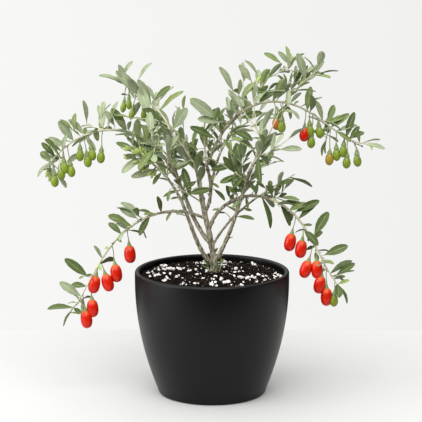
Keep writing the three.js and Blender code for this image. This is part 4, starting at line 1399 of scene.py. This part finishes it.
class BUSH_OT_wood(bpy.types.Operator):
    """Model the trunk and boughs as one body with forks, knobs, broken spurs and bark relief"""
    bl_idname = "bush.wood"
    bl_label = "Trunk and Boughs"

    def execute(self, context):
        wanted = context.scene.bush_wood
        wood = Gathering()
        knob = model_ball("knob", segments=12, rings=8)
        turns = np.arange(WOOD_SIDES) / WOOD_SIDES * math.tau
        for number, name in enumerate(LIMBS):
            if LIMBS[name].bare == 0:
                continue
            path, radii = bare_path(name)
            rings = []
            for i, radius in enumerate(radii):
                flute = 1 + fluted(BROAD_FLUTES, turns, i) + fluted(FINE_FLUTES, turns, i, number)
                ring = radius * flute * (1 + SWELLINGS[0] * math.sin(SWELLINGS[1] * i + number))
                if name == "trunk":
                    width, reach, lobes = FLARE
                    far = path.length * i / (len(radii) - 1)
                    ring = ring + width * math.exp(-far / reach) * (1 + lobes * np.cos(3 * turns))
                rings.append(ring)
            foot = path.points[0] - path.dirs[0] * WOOD_SUNK
            wood.add_tube([foot, *path.points[1:]], rings, WOOD_SIDES)
            self.add_knobs(wood, knob, path, radii, dice(KNOB_SEED + number))
        body = wood.piece("trunk_and_boughs", [], 60)
        apply_modifier(body, "REMESH", mode="VOXEL", voxel_size=wanted.voxel)
        apply_modifier(body, "SMOOTH", factor=0.5, iterations=2)
        self.carve(body, wanted.relief)
        smooth_piece(body, 80)
        settle(body, WOOD_NODES, [bark_material(wanted)])
        return {"FINISHED"}

    def add_knobs(self, wood, knob, path, radii, random):
        """Adds the swollen nodes, leaf scars and broken spurs along a limb."""
        step = 0
        while step < len(radii) - KNOB_FREE_END:
            turn, size, skip, tip, chance, _ = draw(random)
            side = sideways(path.dirs[step], 360 * turn)
            radius = radii[step]
            wide = scattered(KNOB_WIDTH, size)
            centre = np.array(path.points[step] + side * (radius - KNOB_SUNK * wide))
            points = knob.points * wide * KNOB_FULLNESS
            wood.add(knob, stretched(points, np.array(path.dirs[step]), KNOB_DRAWN_OUT) + centre)
            if chance < SPUR_STUB_CHANCE and step > SPUR_STUB_FROM:
                long = scattered(SPUR_STUB_LENGTH, tip)
                lean = (side + path.dirs[step] * SPUR_STUB_LEAN).normalized()
                root = path.points[step] + side * (radius * 0.5)
                stub = [root + lean * (long + radius * 0.5) * share for share in SPUR_STUB_RINGS]
                wood.add_tube(stub, SPUR_STUB_RINGS.values(), SPUR_STUB_SIDES)
            step += KNOB_GAP[0] + int(KNOB_GAP[1] * skip)

    def carve(self, body, relief):
        """Moves the points along their normals into ridges that follow the stems."""
        mesh = body.data
        for point, normal in zip(mesh.vertices, mesh.vertex_normals):
            place = point.co / MM
            ridge_place = Vector((place.x * RIDGE_ACROSS, place.y * RIDGE_ACROSS, place.z * RIDGE_ALONG))
            ridge = noise.fractal(ridge_place, *RIDGE_NOISE)
            fleck = noise.noise(place * FLECK_PITCH)
            point.co += normal.vector * relief * (ridge + FLECK_DEPTH * fleck)


def bark_material(wanted):
    """Grey-tan bark with darker furrows drawn out along the stems."""
    if "streaked_bark" in bpy.data.materials:
        return bpy.data.materials["streaked_bark"]
    return new_material("streaked_bark", tuple(wanted.bark_light), tuple(wanted.bark_dark),
                        frequency=620, drawn_out=(1, 1, 0.3), sharpness=0.14, balance=0.46, grain=1700,
                        grain_strength=0.6, grain_depth=0.00035, roughness=0.82)


# The leafy stems, which have bark above a radius; their small swellings go by depth and turn
STEM_DETAIL = 4
BARK_FROM = 1.35
STEM_SWELLINGS = (0.06, 2.3)
STEM_SIDES = 9
SHOOT_SIDES = 6

# The seat of a leaf, which goes by the leaf's length
SEAT_SIZE = (0.5, 0.028)
SEAT_DRAWN_OUT = 0.8
SEAT_AT = 0.25


class BUSH_OT_twigs(bpy.types.Operator):
    """Model the leafy stems, side twigs, shoots and spurs, with a bud cushion under each leaf"""
    bl_idname = "bush.twigs"
    bl_label = "Stems and Twigs"

    def execute(self, context):
        wanted = context.scene.bush_wood
        twigs = Gathering()
        cushion = model_ball("cushion", segments=7, rings=5)
        for spray in whole_plant(context.scene.bush_leaf.fullness):
            for leaf in spray.leaves:
                twigs.add(cushion, self.seat(cushion, leaf), slot=1)
            if not spray.path:
                continue
            is_stem = spray.kind == "stem"
            points = stretch(spray.path, 0, 1, STEM_DETAIL).points if is_stem else spray.path.points
            count = len(points) - 1
            depth, twist = STEM_SWELLINGS
            radii = [lerp(*spray.radii, i / count) * (1 + depth * math.sin(twist * i))
                     for i in range(count + 1)]
            slots = [0 if (first + last) / 2 > BARK_FROM else 1 for first, last in zip(radii, radii[1:])]
            twigs.add_tube(points, radii, STEM_SIDES if is_stem else SHOOT_SIDES, slots)
        young = new_material("young_stem", tuple(wanted.stem_light), tuple(wanted.stem_dark),
                             frequency=260, sharpness=0.2, grain=1600, roughness=0.62)
        piece = twigs.piece("leafy_stems", [bark_material(wanted), young], 60)
        settle(piece, FOLIAGE_NODES)
        return {"FINISHED"}

    def seat(self, cushion, leaf):
        """The swollen seat of a leaf, drawn out along its stalk."""
        along = np.array(leaf.along)
        points = cushion.points * scattered(SEAT_SIZE, leaf.length)
        return stretched(points, along, SEAT_DRAWN_OUT) + np.array(leaf.root) + along * SEAT_AT


# The four tones of the leaves; grey, middle and deep are painted light and shade, and young is the newest
# leaves' own colour. A spray's tone goes by how far out and how high it is, how far to the left, and by
# chance, each with its share: high, outer and left sprays, where the light falls, are painted lighter, and
# inner, low ones and those in a shaded place are painted deeper.
LEAF_SEED = 23
LEAF_TONES = ("grey", "middle", "deep", "young")
GREY, MIDDLE, DEEP, YOUNG = range(4)
CROWN_MIDDLE = Vector((-5.0, 0.0, 215.0))
CROWN_HALF_SIZES = (150, 80, 105)
CROWN_LOW, CROWN_TALL, CROWN_WIDE = 130, 200, 100
TONE_AT = 0.6
OUTSIDE_SHARE = 0.25
HEIGHT_SHARE = 0.75
LEFT_SHARE = 0.15
CHANCE_SHARE = 0.5
SHADE_LOSS = 0.16
SET_GAIN = 0.35
SET_SHADED_FROM = -50
GREY_ABOVE = 0.5
MIDDLE_ABOVE = 0.27

# When a leaf leaves its spray's tone
STRAY_CHANCE = 0.42
DEEP_FROM = 0.93
YOUNG_CHANCE = 0.4
YOUNG_LONGEST = 13

# The leaf forms: width against the usual, fold and wave
LEAF_FORMS = {
    "leaf_flat": (1.0, 0.32, 0.004),
    "leaf_folded": (0.94, 0.58, 0.008),
    "leaf_broad": (1.12, 0.24, 0.012),
    "leaf_slim": (0.84, 0.42, 0.016),
}
LAST_FORM_CHANCE = 3.999

# What a leaf's colour is blended with on its midrib, underside and margin; the margin's pale cream is a
# painted highlight along the leaf's edge
RIB_CREAM = (0.75, 0.78, 0.55)
BACK_GREY = (0.5, 0.56, 0.42)
EDGE_HIGHLIGHT_CREAM = (0.75, 0.78, 0.6)


def spray_tone(spray, chance):
    """The tone that a spray's leaves are dealt, as painted light and shade: grey in the light and outside,
    deep in the shade inside and low down.
    """
    point = at(spray.path, TONE_AT)[0] if spray.path else spray.leaves[0].root
    off = point - CROWN_MIDDLE
    wide, deep, high = CROWN_HALF_SIZES
    outside = min(Vector((off.x / wide, off.y / deep, off.z / high)).length, 1)
    light = OUTSIDE_SHARE * outside + HEIGHT_SHARE * (point.z - CROWN_LOW) / CROWN_TALL
    light += CHANCE_SHARE * (chance - 0.5) - LEFT_SHARE * off.x / CROWN_WIDE
    # Painted shade for sprays in a shaded place and for the set leaves right of the crown's left, painted
    # light for the set leaves at the far left
    if inside(seen(point), SHADED) or (spray.kind == "set" and off.x > SET_SHADED_FROM):
        light -= SHADE_LOSS
    elif spray.kind == "set":
        light += SET_GAIN
    if light > GREY_ABOVE:
        return GREY
    return MIDDLE if light > MIDDLE_ABOVE else DEEP


class BUSH_OT_leaves(bpy.types.Operator):
    """Model the leaves and deal them out by spray in four tones, three of them painted light and shade"""
    bl_idname = "bush.leaves"
    bl_label = "Leaves"

    def execute(self, context):
        wanted = context.scene.bush_leaf
        forms = [model_leaf(name, wanted.width * width, fold, wave)
                 for name, (width, fold, wave) in LEAF_FORMS.items()]
        random = dice(LEAF_SEED)
        gathered = [Gathering() for _ in LEAF_TONES]
        for spray in whole_plant(wanted.fullness):
            tone = spray_tone(spray, next(random))
            for leaf in spray.leaves:
                form, stray, newest, *_ = draw(random)
                place = tone
                if stray < STRAY_CHANCE and spray.kind != "set":
                    place = min(tone + 1, DEEP) if form < 0.5 else max(tone - 1, GREY)
                if stray > DEEP_FROM:
                    place = DEEP
                grown_here = spray.kind not in ("set", "foot")
                if leaf.length < YOUNG_LONGEST and newest < YOUNG_CHANCE and grown_here:
                    place = YOUNG
                chosen = forms[int(form * LAST_FORM_CHANCE)]
                gathered[place].add(chosen, put_leaf(leaf, chosen))
        for tone, leaves in zip(LEAF_TONES, gathered):
            materials = self.leaf_materials(tone, tuple(getattr(wanted, tone)))
            settle(leaves.piece(f"leaves_{tone}", materials, 50), FOLIAGE_NODES)
        return {"FINISHED"}

    def leaf_materials(self, tone, colour):
        """The blade, midrib, underside and margin of one tone; the margin's paler colour is a painted edge
        highlight.
        """
        broad = {"frequency": 150, "sharpness": 0.2, "grain": 1100, "grain_strength": 0.25}
        thin = {"frequency": 200, "grain": 1100, "grain_strength": 0.2, "roughness": 0.6}
        return [
            new_material(f"leaf_{tone}", colour, blend_tones(colour, BLACK, 0.28), balance=0.45,
                         roughness=0.55, specular_ior_level=0.2, **broad),
            new_material(f"midrib_{tone}", blend_tones(colour, RIB_CREAM, 0.3), colour, **thin),
            new_material(f"underside_{tone}", blend_tones(colour, BACK_GREY, 0.2), colour, roughness=0.7,
                         **broad),
            # The margin's pale cream is a painted highlight along the leaf's edge
            new_material(f"margin_{tone}", blend_tones(colour, EDGE_HIGHLIGHT_CREAM, 0.4), colour, **thin),
        ]


# Each kind of fruit, with the length of its neck and the radius where the neck meets it, how full its ends
# are and how much its top narrows. Half ripe and small ones are told apart only here, and the green ones are
# a little longer than in the source.
Kind = namedtuple("Kind", "length width neck neck_radius segments rings fullness taper")
FRUIT_KINDS = {
    "ripe": Kind(17.6, 11.4, 6, 2.1, 22, 16, 2.5, 0.06),
    "half": Kind(14.0, 9.6, 6, 2.0, 20, 14, 2.4, 0.1),
    "turning": Kind(12.5, 8.4, 5, 1.9, 18, 12, 2.3, 0.16),
    "green": Kind(12.8, 8.2, 6, 1.9, 18, 12, 2.25, 0.3),
    "small": Kind(11.5, 6.0, 5, 1.4, 16, 12, 2.1, 0.3),
    "bud": Kind(6.4, 3.0, 2, 0.9, 10, 8, 2.2, 0.0),
}
FRUIT_PIECES = {
    "ripe": "ripe_berries", "turning": "turning_berries", "green": "green_berries",
    "small": "small_green_berries", "bud": "flower_buds",
}

# The two buds beside each bud, by how far to the side and how far back they stand
BUDS_ASIDE = ((2.6, 1.8), (-2.4, -1.4))
ASIDE_HIGHER = 0.4
ASIDE_DROP = 0.8

# Where up a fruit the colour of its top starts and where it is full, and how late it comes in; on a ripe berry
# that colour is a painted orange highlight
RED_TOP_FROM = 0.72
GREEN_TOP_FROM = 0.62
TOP_FULL = 1.02
TOP_POWER = 1.3

# The stalk, with its bow to one side
STALK_BOW = Vector((0.6, -0.8, 0))
STALK_BOWED = 0.9
STALK_RADII = [0.62, 0.45, 0.42, 0.42, 0.5]
STALK_SIDES = 7

# The cup, with its rings along the neck and over the fruit: two thin ones, then shares of the neck's radius,
# and a rim with three lobes
CUP_RINGS = (0, 0.3, 0.6, 0.82, 1.0)
CUP_OVERLAP = 1.1
CUP_THIN_RADII = [0.48, 0.72]
CUP_SHARES = (0.62, 0.86, 1.0)
CUP_RIM = (1.14, 0.16)
CUP_SIDES = 10
GREEN_CUP_BROADER = 1.25

# The dry tip at a berry's end, with its radii at steps down from where it starts
TIP_SUNK = 0.25
TIP_RINGS = {0: 0.42, 0.35: 0.34, 0.6: 0.15}


class BUSH_OT_fruit(bpy.types.Operator):
    """Model the red, turning and green berries and the buds, on their stalks"""
    bl_idname = "bush.fruit"
    bl_label = "Berries and Buds"

    def execute(self, context):
        wanted = context.scene.bush_fruit
        shapes = {name: model_ball(name, kind.segments, kind.rings, kind.fullness, kind.taper)
                  for name, kind in FRUIT_KINDS.items()}
        skins = {kind: Gathering() for kind in FRUIT_KINDS}
        skins["half"] = skins["ripe"]
        stalks = Gathering()
        for name, spec in LIMBS.items():
            for fruit in spec.fruits:
                root = at(limb_path(name), fruit.at)[0]
                self.hang(root, fruit, shapes[fruit.kind], skins[fruit.kind], stalks)
                for aside, back in BUDS_ASIDE if fruit.kind == "bud" else ():
                    near = fruit._replace(lean=fruit.lean + aside, drop=fruit.drop * ASIDE_DROP)
                    place = root + Vector((0, back, ASIDE_HIGHER))
                    self.hang(place, near, shapes["bud"], skins["bud"], stalks)
        for kind, material in self.skin_materials(wanted).items():
            settle(skins[kind].piece(FRUIT_PIECES[kind], [material], 70), FOLIAGE_NODES)
        stalk = new_material("fruit_stalk", tuple(wanted.calyx),
                             blend_tones(wanted.calyx, (0.05, 0.1, 0.02), 0.35), frequency=240,
                             grain_strength=0.25, roughness=0.6)
        tip = new_material("berry_tip", tint(96, 62, 40), tint(52, 34, 24), frequency=600, roughness=0.8)
        settle(stalks.piece("fruit_stalks", [stalk, tip], 60), FOLIAGE_NODES)
        return {"FINISHED"}

    def skin_materials(self, wanted):
        """The skin of each kind of fruit that is a piece of its own."""
        ripe, turning, green, calyx = (
            tuple(colour) for colour in (wanted.ripe, wanted.turning, wanted.green, wanted.calyx))
        green_shade = blend_tones(green, (0.02, 0.06, 0), 0.35)
        shine = {"specular_ior_level": 0.3}
        gloss = {"coat_weight": 0.1, "coat_roughness": 0.1, **shine}
        return {
            "ripe": ripening_and_highlight_material("ripe_skin", ripe, tuple(wanted.ripe_top_highlight),
                                      blend_tones(ripe, (0.3, 0, 0), 0.4), roughness=0.28, **gloss),
            "turning": ripening_and_highlight_material("turning_skin", turning, calyx, green, roughness=0.34, **gloss),
            "green": ripening_and_highlight_material("green_skin", green, calyx, green_shade, roughness=0.36, **gloss),
            "small": ripening_and_highlight_material("small_green_skin", blend_tones(green, calyx, 0.25), calyx,
                                       green_shade, roughness=0.4, **shine),
            "bud": ripening_and_highlight_material("bud_skin", tint(178, 192, 104), calyx, calyx, roughness=0.5),
        }

    def hang(self, root, fruit, shape, skin, stalks):
        """One fruit under its stalk: the body, the cup that holds it and the curved stalk."""
        size = FRUIT_KINDS[fruit.kind]
        down = Vector((fruit.lean / fruit.drop, 0, -1)).normalized()
        centre = fruit_centre(root, fruit)
        top = centre - down * (size.length / 2)
        neck_top = top - down * size.neck
        across = down.cross(Vector((0, 1, 0))).normalized()
        axes = np.array([tuple(across), tuple(across.cross(down)), tuple(-down)])
        points = (shape.points * (size.width, size.width, size.length)) @ axes + np.array(centre)
        level = shape.points[:, 2] + 0.5
        # Toward the stalk a ripe berry takes its painted orange highlight, and other fruit the calyx's green
        edge = RED_TOP_FROM if fruit.kind in ("ripe", "half") else GREEN_TOP_FROM
        skin.add(shape, points, 0, np.clip((level - edge) / (TOP_FULL - edge), 0, 1) ** TOP_POWER)

        # Which way a stalk bows goes by the fruit's place along the limb
        side = STALK_BOW * (STALK_BOWED if fruit.at * 100 % 2 < 1 else -STALK_BOWED)
        middle = root.lerp(neck_top, 0.5) + side
        line = [root, root.lerp(middle, 0.55) + side * 0.3, middle,
                middle.lerp(neck_top, 0.5) + side * 0.2, neck_top]
        stalks.add_tube(line, STALK_RADII, STALK_SIDES)

        cup = [neck_top + down * size.neck * share for share in CUP_RINGS] + [top + down * CUP_OVERLAP]
        broad = 1.0 if fruit.kind in ("ripe", "half", "bud") else GREEN_CUP_BROADER
        rim, lobes = CUP_RIM
        turns = np.arange(CUP_SIDES) / CUP_SIDES * math.tau
        rings = CUP_THIN_RADII + [size.neck_radius * share * broad for share in CUP_SHARES]
        rings.append(size.neck_radius * broad * (rim + lobes * np.cos(3 * turns)))
        stalks.add_tube(cup, rings, CUP_SIDES)
        if fruit.kind != "bud":
            end = centre + down * (size.length / 2 - TIP_SUNK)
            stalks.add_tube([end + down * depth for depth in TIP_RINGS], TIP_RINGS.values(), STALK_SIDES, 1)


# The direction that the room's light comes from and how dim the room is opposite, then the wall's brightness
# where it is seen at the left and the right of the picture, which is painted light: brighter at the left,
# where the light comes from
LIGHT_FROM = (-0.28, 0.08, 0.957)
ROOM_DIM = 0.015
ROOM_BRIGHTENS_FROM = -0.05
WALL_LEFT = 0.935
WALL_RIGHT = 0.875
WALL_REACH = 0.12
WALL_COLOUR = (1, 1, 0.985, 1)

# The table in metres, with the front corner at the left drawn out
TABLE_SIZE = (3.0, 0.546)
TABLE_BACK = -0.037
TABLE_CORNER = -0.36
TABLE_THICKNESS = 0.03
TABLE_EDGE = 0.003

# Each light's place and size in metres, and the point that they face
LIGHTS = {
    "key": ((-2.0, -0.8, 1.5), 1.8),
    "fill": ((0.1, -1.7, 2.0), 2.4),
    "side": ((-2.6, -0.9, 0.62), 1.3),
}
LIT_POINT = Vector((0, 0, 0.15))

# The camera stands at EYE; its angles are in degrees
CAMERA_DOWN = 11.09
CAMERA_TURN = 0.0185
CAMERA_SENSOR = 36
CAMERA_SIGHT = 20


class BUSH_OT_stage(bpy.types.Operator):
    """Add the pale table, the soft studio light and the camera"""
    bl_idname = "bush.stage"
    bl_label = "Table, Light and Camera"

    def execute(self, context):
        wanted = context.scene.bush_stage
        self.add_table(wanted.table_colour)
        for name, (place, size) in LIGHTS.items():
            self.add_light(name, place, size, getattr(wanted, f"{name}_power"))
        self.add_room(wanted.surround)
        bpy.ops.object.camera_add(
            location=EYE * MM, rotation=(math.radians(90 - CAMERA_DOWN), 0, math.radians(CAMERA_TURN)))
        camera = context.object
        camera.name = "camera"
        camera.data.lens = wanted.lens
        camera.data.sensor_width = CAMERA_SENSOR
        camera.data.clip_end = CAMERA_SIGHT
        context.scene.camera = camera
        context.scene.view_settings.view_transform = "Standard"
        return {"FINISHED"}

    def add_table(self, colour):
        """The table: a wide board with a soft edge, behind which the wall shows."""
        bpy.ops.object.select_all(action="DESELECT")
        bpy.ops.mesh.primitive_grid_add(x_subdivisions=2, y_subdivisions=1, size=1, location=(0, 0, 0))
        table = new_piece("table")
        with editing(table, "SELECT"):
            bpy.ops.transform.resize(value=(*TABLE_SIZE, 1), center_override=(0, 0, 0))
            bpy.ops.transform.translate(value=(0, TABLE_BACK, 0))
            pick_points(table, lambda point: point.co.x < -1 and point.co.y < 0)
            bpy.ops.transform.translate(value=(0, TABLE_CORNER, 0))
            bpy.ops.mesh.select_all(action="SELECT")
            bpy.ops.mesh.extrude_region_move(TRANSFORM_OT_translate={"value": (0, 0, -TABLE_THICKNESS)})
            bpy.ops.mesh.select_all(action="SELECT")
            bpy.ops.mesh.normals_make_consistent(inside=False)
        apply_modifier(table, "BEVEL", width=TABLE_EDGE, segments=3)
        paint = new_material("matt_white_table", tuple(colour), blend_tones(colour, (0.6, 0.6, 0.6), 0.3),
                             frequency=4, grain=700, grain_strength=0.05, roughness=0.8,
                             specular_ior_level=0.2)
        table.data.materials.append(paint)

    def add_light(self, name, place, size, power):
        """A soft square light that faces the middle of the plant."""
        bpy.ops.object.light_add(type="AREA", location=place)
        light = bpy.context.object
        light.name = name
        light.data.shape = "SQUARE"
        light.data.size = size
        light.data.energy = power
        aim = LIT_POINT - Vector(place)
        light.rotation_euler = aim.to_track_quat("-Z", "Y").to_euler()

    def add_room(self, surround):
        """The room: pale where it is seen, brighter at the left as painted light, and as light bright above
        and a little left, and dim below.
        """
        world = bpy.data.worlds.new("pale_room")
        world.use_nodes = True
        nodes, links = world.node_tree.nodes, world.node_tree.links
        room = nodes["Background"]
        way = nodes.new("ShaderNodeTexCoord")
        facing = nodes.new("ShaderNodeVectorMath")
        facing.operation = "DOT_PRODUCT"
        facing.inputs[1].default_value = Vector(LIGHT_FROM).normalized()
        links.new(way.outputs["Generated"], facing.inputs[0])
        place = nodes.new("ShaderNodeSeparateXYZ")
        links.new(way.outputs["Generated"], place.inputs["Vector"])
        glow = self.add_range(nodes, (ROOM_BRIGHTENS_FROM, 1.0), (surround * ROOM_DIM, surround))
        glow.interpolation_type = "SMOOTHSTEP"
        links.new(facing.outputs["Value"], glow.inputs["Value"])
        # Painted light: the wall that the camera sees is brighter at the left, where the light comes from,
        # than at the right
        wall = self.add_range(nodes, (-WALL_REACH, WALL_REACH), (WALL_LEFT, WALL_RIGHT))
        links.new(place.outputs["X"], wall.inputs["Value"])
        path = nodes.new("ShaderNodeLightPath")
        strength = nodes.new("ShaderNodeMix")
        links.new(path.outputs["Is Camera Ray"], strength.inputs["Factor"])
        links.new(glow.outputs["Result"], strength.inputs["A"])
        links.new(wall.outputs["Result"], strength.inputs["B"])
        links.new(strength.outputs["Result"], room.inputs["Strength"])
        room.inputs["Color"].default_value = WALL_COLOUR
        bpy.context.scene.world = world

    def add_range(self, nodes, taken, given):
        """A node that carries one range of values over to another."""
        node = nodes.new("ShaderNodeMapRange")
        for label, value in zip(("From Min", "From Max", "To Min", "To Max"), (*taken, *given)):
            node.inputs[label].default_value = value
        return node


OPERATORS = (
    BUSH_OT_pot, BUSH_OT_potting_mix, BUSH_OT_wood, BUSH_OT_twigs, BUSH_OT_leaves, BUSH_OT_fruit,
    BUSH_OT_stage,
)
SETTINGS = {
    "bush_pot": BushPotSettings,
    "bush_wood": BushWoodSettings,
    "bush_leaf": BushLeafSettings,
    "bush_fruit": BushFruitSettings,
    "bush_stage": BushStageSettings,
}


class BUSH_PT_panel(bpy.types.Panel):
    """The pieces of the bush, in the order in which they are made"""
    bl_label = "Goji Berry Bush"
    bl_idname = "BUSH_PT_panel"
    bl_space_type = "VIEW_3D"
    bl_region_type = "UI"
    bl_category = "Bush"

    def draw(self, context):
        for name, group in SETTINGS.items():
            box = self.layout.box()
            for key in group.__annotations__:
                box.prop(getattr(context.scene, name), key)
        for operator in OPERATORS:
            self.layout.operator(operator.bl_idname)


def register():
    for group in SETTINGS.values():
        bpy.utils.register_class(group)
    for operator in OPERATORS:
        bpy.utils.register_class(operator)
    bpy.utils.register_class(BUSH_PT_panel)
    for name, group in SETTINGS.items():
        setattr(bpy.types.Scene, name, PointerProperty(type=group))


def unregister():
    for name in SETTINGS:
        delattr(bpy.types.Scene, name)
    bpy.utils.unregister_class(BUSH_PT_panel)
    for operator in reversed(OPERATORS):
        bpy.utils.unregister_class(operator)
    for group in reversed(SETTINGS.values()):
        bpy.utils.unregister_class(group)


def main():
    register()
    bpy.ops.bush.pot()
    bpy.ops.bush.potting_mix()
    bpy.ops.bush.wood()
    bpy.ops.bush.twigs()
    bpy.ops.bush.leaves()
    bpy.ops.bush.fruit()
    bpy.ops.bush.stage()


if __name__ == "__main__":
    main()
